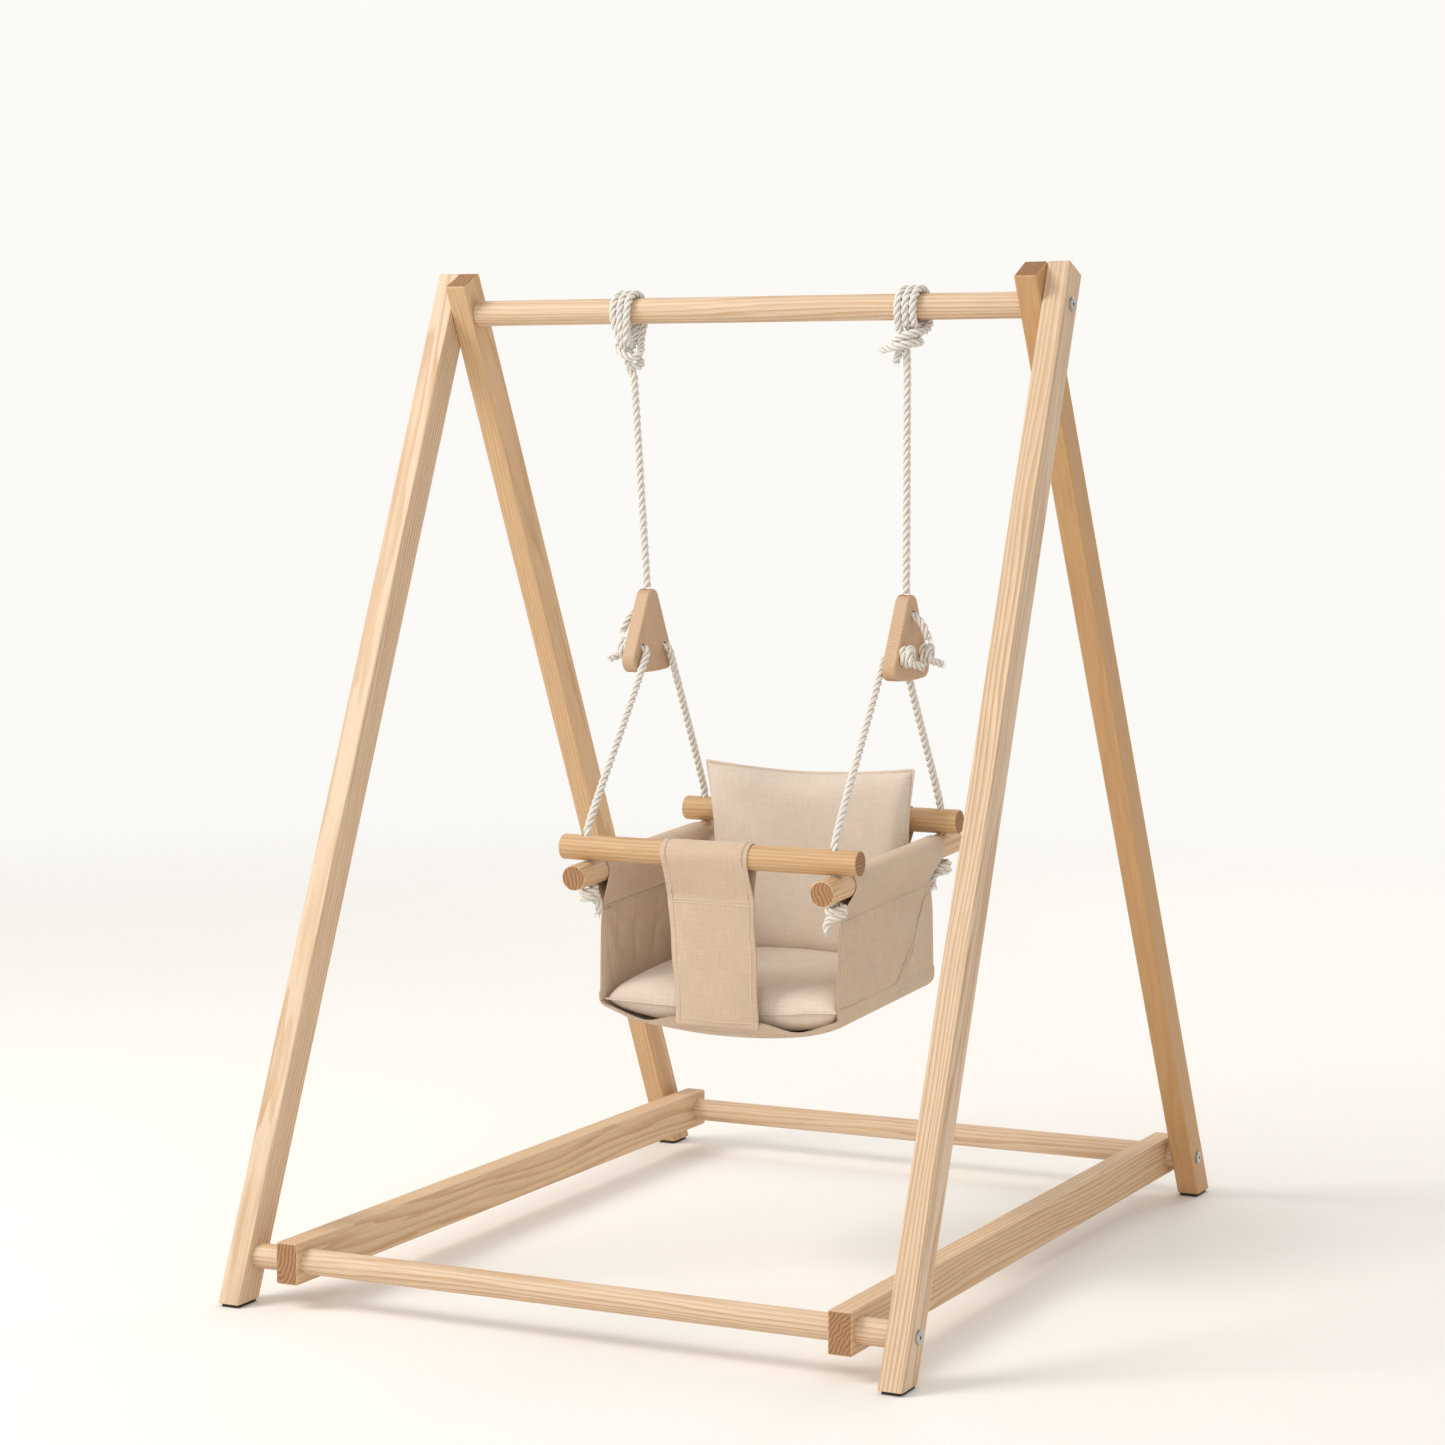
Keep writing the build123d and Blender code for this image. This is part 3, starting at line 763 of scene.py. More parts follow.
def hanging_rope(side_name):
    """The rope from a plate up to the top bar, with its turns round the bar and the knot under them."""
    side = SIDES[side_name]
    plate_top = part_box(f"plate_{side_name}")[1].z
    plate = middle(f"plate_{side_name}")
    hitch = middle(f"rope_hitch_{side_name}")
    top = Vector((hitch.x, TOP_BAR.y, TOP_BAR.z))
    foot = Vector((plate.x, plate.y, plate_top + 0.0012))
    rise = top - foot
    stretch = [foot + rise * share for share in (0.0, 0.06, 0.5, 0.72, 0.78)]
    knot = left_hitch() if side < 0 else right_hitch()
    route = stretch + [top + Vector(point) for point in knot]
    replaced = [f"hanging_rope_{side_name}", f"rope_hitch_{side_name}"]
    body = f"{side_name}_rope"
    if side > 0:
        end = [top + Vector(point) for point in loose_end()]
        rope("loose_end_right", end, [], body, ("end",))
    rope(f"hanging_cord_{side_name}", route, replaced, body, ("end",))


def left_hitch():
    """Three long turns that draw together under the bar, closed by a band with a curl on its right."""
    points = [
        (0.0, 0.0, -0.070),
        (-0.001, -0.003, -0.060),
        (-0.002, -0.011, -0.046),
        (-0.007, -0.0185, -0.026),
    ]
    for turn in range(3):
        x = -0.0125 + turn * TURN_PITCH
        after = x + TURN_PITCH
        lows = [
            (x * 0.5 + 0.003, 0.0165, -0.022),
            (-0.002 + turn * 0.002, 0.010, -0.036),
            (0.001 + turn * 0.002, -0.001, -0.043),
            (0.000 + turn * 0.003, -0.012, -0.038),
            (after * 0.75, -0.019, -0.024),
        ]
        if turn == 2:
            lows = [(0.007, 0.0190, -0.022), (0.0075, 0.0125, -0.036)]
        points += bar_turn(x, x + 0.004, lows)
    points += [
        (0.0140, 0.003, -0.044),
        (0.0165, -0.009, -0.051),
        (0.012, -0.0155, -0.056),
        (-0.001, -0.0175, -0.050),
        (-0.013, -0.012, -0.042),
        (-0.016, 0.002, -0.042),
        (-0.007, 0.013, -0.048),
        (0.006, 0.013, -0.055),
        (0.014, 0.004, -0.062),
        (0.012, -0.007, -0.066),
        (0.003, -0.0115, -0.063),
    ]
    return points


def right_hitch():
    """Three close turns, a band that crosses under them to the left, and its end sticking out there."""
    points = [(0.0, 0.0, -0.068), (-0.001, 0.002, -0.054), (-0.003, -0.001, -0.040), (-0.005, -0.014, -0.024)]
    for turn in range(3):
        x = -0.0040 + turn * TURN_PITCH
        lows = [(x + 0.006, 0.0105, -0.0225), (x + 0.0075, -0.0105, -0.0235)]
        if turn == 2:
            lows = [(0.0205, 0.0170, -0.020), (0.0210, 0.004, -0.0275)]
        points += bar_turn(x, x + 0.005, lows)
    points += [
        (0.018, -0.0115, -0.029),
        (0.004, -0.0175, -0.032),
        (-0.010, -0.0125, -0.037),
        (-0.015, 0.002, -0.041),
        (-0.005, 0.0145, -0.042),
        (0.009, 0.013, -0.040),
        (0.0165, 0.001, -0.039),
        (0.011, -0.0125, -0.041),
        (-0.002, -0.0185, -0.044),
        (-0.014, -0.0150, -0.046),
        (-0.022, -0.011, -0.047),
        (-0.029, -0.008, -0.049),
    ]
    return points


def loose_end():
    """The short second end that leaves the right knot beside the standing rope."""
    return [
        (0.016, 0.020, -0.013),
        (0.014, 0.015, -0.024),
        (0.006, 0.010, -0.034),
        (-0.004, 0.006, -0.042),
        (-0.010, -0.002, -0.050),
        (-0.012, -0.006, -0.065),
    ]


def knot_turns(centre, axis, across, count, pitch):
    """Control points of a coil of rope round an axis, which starts on the across side."""
    other = axis.cross(across)
    points = []
    steps = 12
    for k in range(int(count * steps) + 1):
        turn = 2 * math.pi * k / steps
        offset = across * math.cos(turn) + other * math.sin(turn)
        points.append(centre + offset * KNOT_TURN_R + axis * (pitch * k / steps))
    return points


def plate_hole(side_name, end_name):
    """Middle of a plate's rope hole, and the plate's half thickness."""
    low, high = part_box(f"plate_{side_name}")
    centre = (low + high) / 2
    return Vector((centre.x, centre.y + ENDS[end_name] * 0.028, high.z - 0.069)), (high.x - low.x) / 2


def upper_points(side_name, end_name):
    """Control points of a seat rope from the tail of its upper knot to the inner face of its plate."""
    side = SIDES[side_name]
    hole, half = plate_hole(side_name, end_name)
    out = Vector((side, 0, 0))
    first = hole + out * (half + 0.0125)
    tail = [
        first + Vector((side * 0.007, side * 0.015, -0.013)),
        first + Vector((side * 0.002, side * 0.007, -0.0095)),
    ]
    coil = knot_turns(first, -out, Vector((0, 0, -1)), 2, 0.0078)
    through = [
        hole + out * (half + 0.0025) + Vector((0, -side * 0.0035, -0.003)),
        hole + out * (half - 0.003),
        hole - out * (half * 0.5),
        hole - out * (half + 0.0045),
        hole - out * (half + 0.0062) + Vector((0, ENDS[end_name] * 0.003, -0.010)),
    ]
    return tail + coil + through


def lower_points(side_name, end_name):
    """Control points from inside the bars down to the lower knot and its tail."""
    side = SIDES[side_name]
    end = ENDS[end_name]
    under = SIDE_BAR_Z - BAR_R
    straight_run = [seat(side * CROSS_X, end * CROSS_Y, z) for z in (0.0, SIDE_BAR_Z, under + 0.004)]
    centre = seat(side * CROSS_X, end * CROSS_Y, under - 0.0052)
    down = -(SEAT.to_3x3() @ Vector((0, 0, 1)))
    across = (SEAT.to_3x3() @ Vector((-side, 0, 0))).normalized()
    outward = centre + (across - down.cross(across)) * KNOT_TURN_R * 0.6 - down * 0.002
    coil = knot_turns(centre, down, across, 1.75, 0.0062)
    tail_steps = ((0.006, 0.004), (0.0085, 0.012), (0.006, 0.021))
    tail = [coil[-1] + across * out + down * drop for out, drop in tail_steps]
    return straight_run + [outward] + coil + tail


def seat_ropes():
    """The four ropes from the plates down through the crossing bars."""
    for side_name in SIDES:
        for end_name in ENDS:
            seat_rope(side_name, end_name)


def seat_rope(side_name, end_name):
    """One of them. A front one is in two pieces, because the front bar lifts along its upper piece."""
    side = SIDES[side_name]

    def on_rope(z):
        return seat(side * CROSS_X, ENDS[end_name] * CROSS_Y, z)

    upper = upper_points(side_name, end_name) + [on_rope(0.024), on_rope(0.013)]
    lower = lower_points(side_name, end_name)
    name = f"seat_cord_{end_name}_{side_name}"
    replaced = [f"seat_rope_{end_name}_{side_name}"]
    if end_name == "rear":
        rope(name, upper + lower, replaced, "seat", ("start", "end"))
        return
    made = rope(name, upper + [on_rope(0.0), on_rope(-0.010)], replaced, None, ("start",))
    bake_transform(made)
    rope(f"seat_cord_foot_{side_name}", [on_rope(0.014)] + lower, [], "seat", ("end",))


def rope_tails():
    """The hanging ropes' ends, out of the plates' outer faces."""
    for side_name, side in SIDES.items():
        low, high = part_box(f"plate_{side_name}")
        x, y = (low.x + high.x) / 2, (low.y + high.y) / 2
        face = (high.x - low.x) / 2
        z = high.z - 0.023
        steps = (
            (0.0, 0.0, 0.0200),
            (0.0, 0.0, 0.007),
            (0.003, 0.0, 0.0),
            (face, 0.0, 0.0),
            (face + 0.008, -0.002, -0.005),
            (face + 0.015, -0.004, -0.013),
            (face + 0.022, -0.005, -0.029),
        )
        route = [(x + side * out, y + back, z + up) for out, back, up in steps]
        rope(f"tail_cord_{side_name}", route, [f"rope_tail_{side_name}"], "seat", ("end",))


# ---------------------------------------------------------------- canvas


def sleeve_line(seam_out, drop):
    """Cloth round a bar from a seam beside and below it: (out, up) from the bar's axis, inner side first."""
    base = math.atan2(-drop, seam_out)
    spread_angle = math.acos(SLEEVE_R / math.hypot(seam_out, drop))
    angles = np.linspace(base - spread_angle + 2 * math.pi, base + spread_angle, 26)
    arc = [(SLEEVE_R * math.cos(angle), SLEEVE_R * math.sin(angle)) for angle in angles]
    inner = seam_out - SEAM_LIFT
    return [(inner, -drop - 0.006), (inner, -drop)] + arc + [(seam_out, -drop)]


def side_grid(side):
    """A side panel: rows run down the cloth's profile, columns from front to rear."""
    seam_out = PANEL_X - CROSS_X
    sleeve = [(x + CROSS_X, z + SIDE_BAR_Z) for x, z in sleeve_line(seam_out, SEAM_DROP)]
    seam_z = SIDE_BAR_Z - SEAM_DROP
    profile = even(sleeve + [(PANEL_X, BOTTOM_SEAM - 0.004)], CELL)
    sleeve_rows = len(even(sleeve, CELL))
    columns = 60
    across = np.linspace(0, 1, columns)
    grid = np.zeros((len(profile), columns, 3))
    for row, (x, z) in enumerate(profile):
        down = 0.0 if row < sleeve_rows else (seam_z - z) / (seam_z - BOTTOM_SEAM)
        rise = smooth(0.0, 0.35, down)
        front = -(SLEEVE_HALF + 0.003 * rise + 0.009 * down)
        rear = SLEEVE_HALF + 0.006 * rise
        y = front + (rear - front) * across
        swell = side_folds(side, y, z, down)
        grid[row, :, 0] = side * (x + swell)
        grid[row, :, 1] = y
        grid[row, :, 2] = z
    seam_row = sleeve_rows / (len(profile) - 1)
    return grid, seam_row


# Soft folds of a side panel in the seat frame: from (y, z), to (y, z), height and half width
SIDE_FOLDS = (
    ((-0.122, -0.066), (-0.050, -0.170), 0.0022, 0.0070),
    ((-0.118, -0.064), (0.000, -0.150), 0.0014, 0.0060),
    ((-0.085, -0.066), (-0.082, -0.160), 0.0016, 0.0055),
    ((-0.035, -0.066), (-0.048, -0.175), 0.0017, 0.0060),
    ((0.020, -0.066), (0.002, -0.172), 0.0015, 0.0065),
    ((0.075, -0.066), (0.050, -0.172), 0.0013, 0.0070),
    ((0.112, -0.070), (0.030, -0.174), 0.0014, 0.0045),
    ((-0.128, -0.080), (-0.105, -0.172), 0.0018, 0.0040),
    ((0.050, -0.074), (-0.020, -0.172), 0.0011, 0.0040),
)


def side_folds(side, y, z, down):
    """How far a side panel stands out from its plane: a slight belly and a few soft folds."""
    if down <= 0:
        return np.zeros_like(y)
    belly = 0.0035 * math.sin(math.pi * min(down, 1)) * np.cos(y / 0.30 * math.pi) ** 2
    total = belly
    for k, (start, end, height, width) in enumerate(SIDE_FOLDS):
        size = height * (2.1 if side > 0 else 1.6)
        run = np.array(end) - np.array(start)
        share = np.clip(((y - start[0]) * run[0] + (z - start[1]) * run[1]) / (run @ run), 0, 1)
        away = np.hypot(y - start[0] - run[0] * share, z - start[1] - run[1] * share)
        total = total + size * np.exp(-((away / width) ** 2)) * np.sin(math.pi * np.clip(share, 0.04, 0.96))
    return total * smooth(0.0, 0.1, down) * smooth(1.02, 0.9, down)


def side_panels():
    hem_columns = 7
    for side_name, side in SIDES.items():
        local, seam_row = side_grid(side)
        hem_start = int(seam_row * (local.shape[0] - 1)) + 1
        hem = local[hem_start:, :hem_columns].copy()
        hem[:, :, 0] -= side * SIDE_HEM_GAP
        grid = to_row(local)
        name = f"side_panel_{side_name}"
        made = sheet(name, [grid, to_row(hem)], f"canvas_side_{side_name}")
        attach(made, "seat")
        row = seam_row + 0.004
        lines = [seam(grid, (row, 0.03), (row, 0.97), lift * -side) for lift in SLEEVE_LIFTS]
        for lift in (-side * STITCH_LIFT, side * (STITCH_LIFT + HEM_GAP)):
            lines.append(seam(grid, (seam_row + 0.02, 0.024), (0.985, 0.024), lift))
        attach(stitches(f"side_stitches_{side_name}", lines), "seat")


def floor_depth(x, y):
    """How far the seat's bottom lies below its side seams, away from the rounded corners."""
    share = np.abs(x) / PANEL_X
    edge = 0.0165 + 0.0095 * np.sin(math.pi * np.clip((np.abs(x) - 0.050) / 0.095, 0, 1)) ** 2
    belly = 0.026 + 0.0145 * (1 - share ** 2)
    front = smooth(FLOOR_FRONT, FLOOR_FRONT + 0.032, y)
    rear = smooth(BACK_Y, BACK_Y - 0.05, y)
    middle_depth = edge * (1 - front) + belly * front
    return middle_depth * rear + 0.028 * (1 - rear)


def floor_surface(angle, y):
    """X and z of the bottom: angle runs from its left seam (pi) to its right seam (0)."""
    bend = 2 / CORNER_POWER
    cosine = np.cos(angle)
    x = np.sign(cosine) * FLOOR_HALF * np.abs(cosine) ** bend
    return x, BOTTOM_SEAM - floor_depth(x, y) * np.sin(angle) ** bend


def floor_height(x, y):
    """Z of the bottom's upper face at a place."""
    share = np.clip(np.abs(x) / FLOOR_HALF, 0, 0.9999)
    sine = np.sqrt(1 - share ** CORNER_POWER)
    return BOTTOM_SEAM - floor_depth(x, y) * sine ** (2 / CORNER_POWER) + CANVAS / 2


def floor_grid():
    """The bottom: its rows run from front to rear, and each one from the left seam to the right."""
    angles = np.linspace(math.pi, 0, 600)
    edge = PANEL_X + CANVAS
    top = BOTTOM_SEAM + 0.006
    rows = []
    for y in np.linspace(FLOOR_FRONT, BACK_Y - 0.0015, 64):
        x, z = floor_surface(angles, np.full_like(angles, y))
        sag = np.stack([x * edge / PANEL_X, np.full_like(x, y), z], axis=1)
        rows.append(spread(np.vstack([(-edge, y, top), sag, (edge, y, top)]), 96))
    return np.array(rows)


def floor_panel():
    local = floor_grid()
    hem = local[:6].copy()
    hem[:, :, 2] += HEM_GAP
    grid = to_row(local)
    made = sheet("floor_panel", [grid, to_row(hem)], "canvas_floor")
    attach(made, "seat")
    lines = [seam(grid, (0.02, across), (0.98, across), STITCH_LIFT) for across in (0.016, 0.984)]
    lines.append(seam(grid, (0.075, 0.04), (0.075, 0.96), STITCH_LIFT))
    for places, directions, normals in lines[:]:
        lines.append((places - normals * 2 * STITCH_LIFT, directions, -normals))
    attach(stitches("floor_stitches", lines), "seat")


def back_row(y, z):
    """One row of the back, from left to right: low down, its wings turn forward round the corners."""
    wing = smooth(-0.072, -0.086, z)
    reach = 0.004 + 0.125 * np.clip((-0.066 - z) / 0.13, 0, 1)
    half = BACK_TOP_HALF + BACK_FLARE * smooth(-0.030, -0.082, z)
    half += (PANEL_X + 0.0030 - BACK_TOP_HALF - BACK_FLARE) * wing
    radius = BACK_CORNER_R * wing
    flat = half - radius
    right = [(0.0, y), (flat, y)]
    for turn in np.linspace(0, math.pi / 2, 7)[1:]:
        right.append((flat + radius * math.sin(turn), y - radius * (1 - math.cos(turn))))
    if wing > 0:
        right.append((right[-1][0], right[-1][1] - reach * wing))
    right = spread(right, 30)
    line = np.vstack([right[:0:-1] * (-1, 1), right])
    x = over_side_panel(line[:, 0], line[:, 1], z, wing)
    return np.column_stack([x, line[:, 1], np.full(len(line), z)])


def back_grid():
    """The back and its seam's row: a sleeve on the rear bar, a flat middle, and two wings on the sides."""
    seam_out = 0.139 - CROSS_Y
    sleeve = [(y + CROSS_Y, z) for y, z in sleeve_line(seam_out, SEAM_DROP)]
    profile = even(sleeve + [(BACK_Y, -0.075), (BACK_Y, -0.178)], CELL)
    grid = extend_down(np.array([back_row(y, z) for y, z in profile]))
    return grid, len(even(sleeve, CELL)) / (len(grid) - 1)


def over_side_panel(x, y, z, wing):
    """Lays the wings of the back on the outer faces of the side panels, with their belly and folds."""
    down = (SIDE_BAR_Z - SEAM_DROP - z) / (SIDE_BAR_Z - SEAM_DROP - BOTTOM_SEAM)
    result = x.copy()
    for side in SIDES.values():
        swell = side_folds(side, y, z, down)
        on_wing = smooth(BACK_Y - 0.004, BACK_Y - 0.014, y) * wing * (side * x > PANEL_X - 0.01)
        result = result + side * on_wing * (swell + PANEL_X + 0.0010 - side * x)
    return result


def extend_down(grid):
    """Adds rows that carry the back down to the bottom's rear edge."""
    last = grid[-1]
    inside = np.clip(np.abs(last[:, 0]), 0, PANEL_X - 0.0004)
    target = floor_height(inside, np.full_like(inside, BACK_Y - 0.004)) - 0.003
    target = np.minimum(target, BOTTOM_SEAM - 0.002)
    rows = []
    for share in np.linspace(0, 1, 9)[1:]:
        row = last.copy()
        row[:, 2] = last[:, 2] + (target - last[:, 2]) * share
        rows.append(row)
    return np.concatenate([grid, np.array(rows)])


def back_panel():
    local, seam_row = back_grid()
    grid = to_row(local)
    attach(sheet("back_panel", [grid], "canvas_back"), "seat")
    row = seam_row + 0.004
    lines = [seam(grid, (row, 0.04), (row, 0.96), lift) for lift in SLEEVE_LIFTS]
    for across in (0.014, 0.986):
        lines.append(seam(grid, (seam_row + 0.30, across), (0.985, across), STITCH_LIFT))
    lines.append(seam(grid, (0.975, 0.03), (0.975, 0.97), STITCH_LIFT))
    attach(stitches("back_stitches", lines), "seat")


def strap_grid():
    """The wide strap: a sleeve on the front bar, a cross seam, and a flat tongue down to the bottom."""
    sleeve = [(-y - CROSS_Y, z) for y, z in sleeve_line(0.0, 0.047)]
    profile = even(sleeve + [(FLOOR_FRONT - 0.0022, -0.199)], CELL)
    sleeve_rows = len(even(sleeve, CELL))
    columns = 36
    across = np.linspace(-1, 1, columns)
    grid = np.zeros((len(profile), columns, 3))
    for row, (y, z) in enumerate(profile):
        half = 0.0545 - 0.0025 * smooth(0.02, -0.20, z) + 0.0006 * math.sin(z * 90)
        hang = smooth(sleeve_rows - 4, sleeve_rows + 8, row)
        wave = 0.0012 * np.sin(across * 2.6 + z * 30) + 0.0022 * (1 - across ** 2)
        edge = 0.0016 * across ** 4
        grid[row, :, 0] = across * half
        grid[row, :, 1] = y - (wave - edge) * hang * smooth(-0.202, -0.185, z)
        grid[row, :, 2] = z
    return grid, sleeve_rows


def strap():
    """The strap and its stitches, which stretch from the bottom up to the front bar."""
    local, sleeve_rows = strap_grid()
    seam_row = sleeve_rows / (local.shape[0] - 1)
    grids = [to_row(local)]
    for columns in (slice(0, 4), slice(-4, None)):
        edge = local[sleeve_rows:, columns].copy()
        edge[:, :, 1] += HEM_GAP
        grids.append(to_row(edge))
    made = sheet("crotch_strap_cloth", grids, "crotch_strap")
    grid = grids[0]
    top = 0.30 * seam_row
    second = seam_row + 0.011
    lines = [seam(grid, (top, across), (0.985, across), -STITCH_LIFT) for across in (0.062, 0.938)]
    lines += [seam(grid, (row, 0.05), (row, 0.95), -STITCH_LIFT) for row in (seam_row, second)]
    lines.append(seam(grid, (0.975, 0.06), (0.975, 0.94), -STITCH_LIFT))
    lines.append(seam(grid, (second, 0.05), (second, 0.95), CANVAS * 1.6))
    for piece in (made, stitches("strap_stitches", lines)):
        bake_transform(piece)


# ---------------------------------------------------------------- cushions


def pillow_mesh(width, depth):
    """A flat bag of two equal sheets joined round their rim: points, faces and the rim's point numbers."""
    columns = int(round(width / CUSHION_CELL)) + 1
    rows = int(round(depth / CUSHION_CELL)) + 1
    points = []
    number = {}
    for layer in (1, -1):
        for row in range(rows):
            for column in range(columns):
                on_rim = row in (0, rows - 1) or column in (0, columns - 1)
                if on_rim and layer < 0:
                    number[layer, row, column] = number[1, row, column]
                    continue
                x = (column / (columns - 1) - 0.5) * 2
                y = (row / (rows - 1) - 0.5) * 2
                pull = 1 - 0.008 * (1 - (x * y) ** 4)
                dome = 0.0 if on_rim else 0.006 * (1 - x ** 4) * (1 - y ** 4) + 0.0012
                number[layer, row, column] = len(points)
                points.append((x * width / 2 * pull, y * depth / 2 * pull, layer * dome))
    faces = []
    for layer in (1, -1):
        for row in range(rows - 1):
            for column in range(columns - 1):
                corners = [(row, column), (row, column + 1), (row + 1, column + 1), (row + 1, column)]
                face = [number[layer, r, c] for r, c in corners]
                faces.append(tuple(face if layer > 0 else reversed(face)))
    rim = [number[1, 0, c] for c in range(columns)]
    rim += [number[1, r, columns - 1] for r in range(1, rows)]
    rim += [number[1, rows - 1, c] for c in range(columns - 2, -1, -1)]
    rim += [number[1, r, 0] for r in range(rows - 2, 0, -1)]
    return np.array(points), faces, rim


def simulate(made):
    """Blows the cushion up with Blender's Cloth, caps each point's move, and returns the new points."""
    start = np.array([vertex.co for vertex in made.data.vertices])
    cloth = made.modifiers.new("cloth", "CLOTH")
    settings = cloth.settings
    settings.quality = 6
    settings.mass = 0.2
    settings.tension_stiffness = 18
    settings.compression_stiffness = 18
    settings.shear_stiffness = 8
    settings.bending_stiffness = 0.25
    settings.tension_damping = 12
    settings.air_damping = 4
    settings.use_pressure = True
    settings.uniform_pressure_force = PRESSURE
    settings.effector_weights.gravity = 0
    scene = bpy.context.scene
    for number in range(1, FRAMES + 1):
        scene.frame_set(number)
    evaluated = made.evaluated_get(bpy.context.evaluated_depsgraph_get())
    blown = np.array([vertex.co for vertex in evaluated.data.vertices])
    made.modifiers.remove(cloth)
    scene.frame_set(1)
    move = blown - start
    size = np.linalg.norm(move, axis=1, keepdims=True)
    return start + move * np.minimum(1, MOST_MOVE / np.maximum(size, 1e-9))


def cushion(name, width, depth, thickness, replaced, place):
    """A knife-edged cushion. place turns its own points (x, y, up) into seat-frame points."""
    start, faces, rim = pillow_mesh(width, depth)
    flats = start * (1, 1, 0) + (0, 0, 0.1) * np.sign(start[:, 2:3])
    made = new_object(name, start, faces, flats, CUSHION_CLOTH, "cushion_cover")
    points = simulate(made)
    outness = np.abs(start[:, 0] / width) + np.abs(start[:, 1] / depth)
    points = relaxed(points, faces, rim, np.where(outness > 0.97)[0])
    extent = np.percentile(points[:, 2], 99.5) - np.percentile(points[:, 2], 0.5)
    height = np.clip(points[:, 2] * 2 / extent, -1.1, 1.1)
    points[:, 2] = np.sign(height) * np.abs(height) ** PLUMP * thickness / 2
    for axis, size in enumerate((width, depth)):
        points[:, axis] *= size / np.ptp(points[:, axis])
        points[:, axis] = points[:, axis] * (1 - SQUARE) + start[:, axis] * SQUARE
    points = to_row(place(pucker(points, start, width, depth)))
    made.data.vertices.foreach_set("co", points.astype(np.float32).ravel())
    made.data.update()
    round_edges(made)
    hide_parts(replaced)
    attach(made, "seat")
    welt(f"{name}_seam", points[rim])


def relaxed(points, faces, rim, corners):
    """Evens out the seam between its corners, then the faces beside it."""
    seam_line = points[rim]
    held = np.isin(rim, corners)[:, None]
    for _ in range(40):
        beside = np.roll(seam_line, 1, axis=0) + np.roll(seam_line, -1, axis=0)
        seam_line = np.where(held, seam_line, seam_line / 2 + beside / 4)
    points = points.copy()
    points[rim] = seam_line
    edges = np.array([(face[k], face[(k + 1) % 4]) for face in faces for k in range(4)])
    fixed = np.zeros(len(points), bool)
    fixed[rim] = True
    count = np.bincount(edges[:, 0], minlength=len(points))[:, None]
    for _ in range(10):
        total = np.zeros_like(points)
        np.add.at(total, edges[:, 0], points[edges[:, 1]])
        points = np.where(fixed[:, None], points, points / 2 + total / count / 2)
    return points


def pucker(points, start, width, depth):
    """Small gathers that run in from the seam."""
    x = start[:, 0]
    y = start[:, 1]
    from_side = width / 2 - np.abs(x)
    from_end = depth / 2 - np.abs(y)
    near_side = np.exp(-from_side / GATHER_REACH) * np.sin(y * 420 + 2.2 * np.sin(y * 75))
    near_end = np.exp(-from_end / GATHER_REACH) * np.sin(x * 400 + 2.4 * np.sin(x * 64))
    gathers = GATHER_HEIGHT * np.where(from_side < from_end, near_side, near_end)
    off_seam = np.minimum(from_side, from_end) > 0.002
    result = points.copy()
    result[:, 2] += gathers * np.sign(start[:, 2]) * off_seam
    return result


def welt(name, rim):
    """The thin ridge of a seam along a closed line."""
    step = 0.003
    sides = 8
    line = even(np.vstack([rim, rim[:1]]), step)[:-1]
    ahead = unit(np.roll(line, -1, axis=0) - np.roll(line, 1, axis=0))
    outward = line - line.mean(axis=0)
    outward = unit(outward - ahead * np.sum(outward * ahead, axis=1, keepdims=True))
    beside = np.cross(ahead, outward)
    points = []
    flats = []
    for row, place in enumerate(line):
        points += ring(place, outward[row] * WELT_OUT, beside[row] * WELT_THICK, sides)
        flats += [(2 * math.pi * k / sides * 0.0012, row * step, 0.2) for k in range(sides)]
    faces = grid_faces(len(line), sides, closed=True)
    last = (len(line) - 1) * sides
    faces += [(last + k, last + (k + 1) % sides, (k + 1) % sides, k) for k in range(sides)]
    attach(new_object(name, points, faces, flats, CUSHION_CLOTH, "cushion_cover"), "seat")


def place_seat_cushion(points):
    """Laid on the seat's bottom, bowed down in its middle, with its rear edge under the back cushion."""
    x = points[:, 0]
    y = points[:, 1] - 0.002
    bow = 0.005 * (1 - (x / 0.146) ** 2)
    ground = floor_height(x, y) + 0.0012
    z = np.maximum(points[:, 2] - 0.1765 - bow, ground)
    return np.stack([x, y, z], axis=1)


def place_back_cushion(points):
    """Stood up against the back panel, its lower edge sunk into the seat cushion."""
    x = points[:, 0] + 0.007
    z = points[:, 1] - 0.051
    y = np.minimum(0.106 - points[:, 2], BACK_Y - 0.0027)
    lean = 0.010 * smooth(0.0, -0.16, z)
    return np.stack([x, y - lean, z], axis=1)


# ---------------------------------------------------------------- CAD nodes' finishes


def paint(node, material):
    """Gives a CAD node its material."""
    made = frame["nodes"][node]
    if not made.material_slots:
        made.data.materials.append(material)
    for part in made.material_slots:
        part.material = material


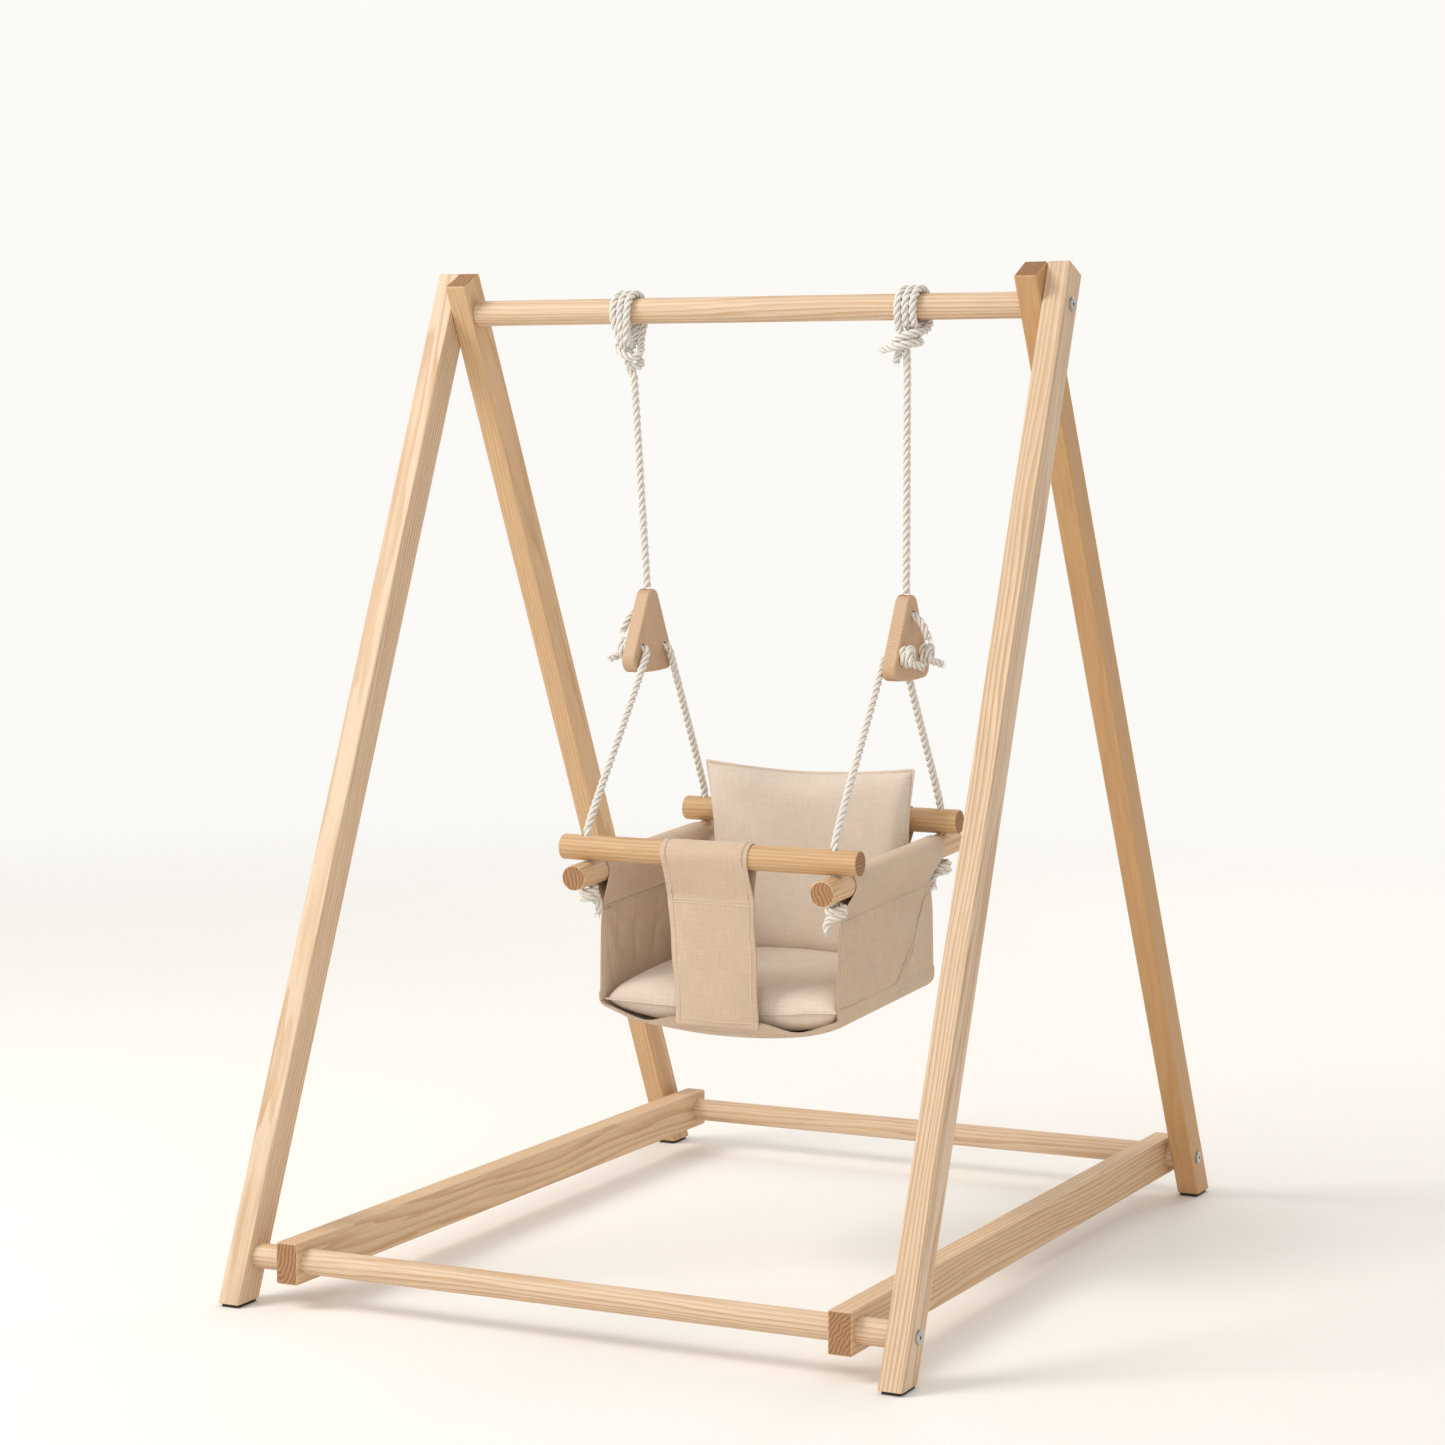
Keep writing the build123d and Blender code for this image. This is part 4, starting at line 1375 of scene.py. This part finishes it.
def board_tint_and_shade(node):
    """The boards differ in tone, and the tints also paint shade: the rear legs, which get less direct light,
    are given darker, warmer tints, the right rear leg the darkest, and the front legs and the top bar the
    palest.
    """
    # painted shade on the rear legs
    if node == "rear_leg_right":
        return PINE_DEEP_SHADE
    if node in ("rear_leg_left", "front_bar", "rear_bar"):
        return PINE_WARM
    if node.startswith("side_"):
        return PINE_HONEY
    return PINE_PALE


def board_grains():
    """Which way the grain runs in each pine node."""
    across = Vector((1, 0, 0))
    grains = {node: across for node in PINE_ACROSS}
    for side_name in SIDES:
        grains[f"front_leg_{side_name}"] = (middle("front_floor_bar") - TOP_BAR).normalized()
        grains[f"rear_leg_{side_name}"] = (middle("rear_floor_bar") - TOP_BAR).normalized()
        grains[f"side_rail_{side_name}"] = Vector((0, 1, 0))
        grains[f"side_bar_{side_name}"] = SEAT.to_3x3() @ Vector((0, 1, 0))
    return grains


def paint_wood():
    """Each piece of pine has its own board, with its own rings and tone. The plates are beech."""
    for seed, (node, grain) in enumerate(board_grains().items()):
        tone = random.Random(seed + 40).uniform(0.96, 1.03)
        pale = toned(board_tint_and_shade(node), tone, tone, tone)
        paint(node, wood(f"pine_{node}", middle(node), grain, seed + 3, pale, PINE_DARK, 0.0046, 0.78))
    up = Vector((0, 0, 1))
    for seed, side_name in enumerate(SIDES, start=70):
        node = f"plate_{side_name}"
        beech = wood(f"beech_{side_name}", middle(node), up, seed, BEECH_PALE, BEECH_DARK, 0.0022, 0.4, 0.9)
        paint(node, beech)


def paint_metal_and_rubber():
    for node in ("top_bolts", "floor_bolts"):
        paint(node, STEEL)
    paint("insert_nuts", BRASS)
    for side_name in SIDES:
        for end_name in ENDS:
            paint(f"foot_pad_{end_name}_{side_name}", RUBBER)


# ---------------------------------------------------------------- the object

make_camera()
for rope_side in SIDES:
    hanging_rope(rope_side)
seat_ropes()
rope_tails()

bpy.context.scene.view_settings.view_transform = "Standard"
make_world()
make_lights()
make_floor()

side_panels()
floor_panel()
back_panel()
strap()
cushion("seat_cushion_cover", 0.292, 0.266, 0.065, "seat_cushion", place_seat_cushion)
cushion("back_cushion_cover", 0.270, 0.236, 0.056, "back_cushion", place_back_cushion)
paint_wood()
paint_metal_and_rubber()
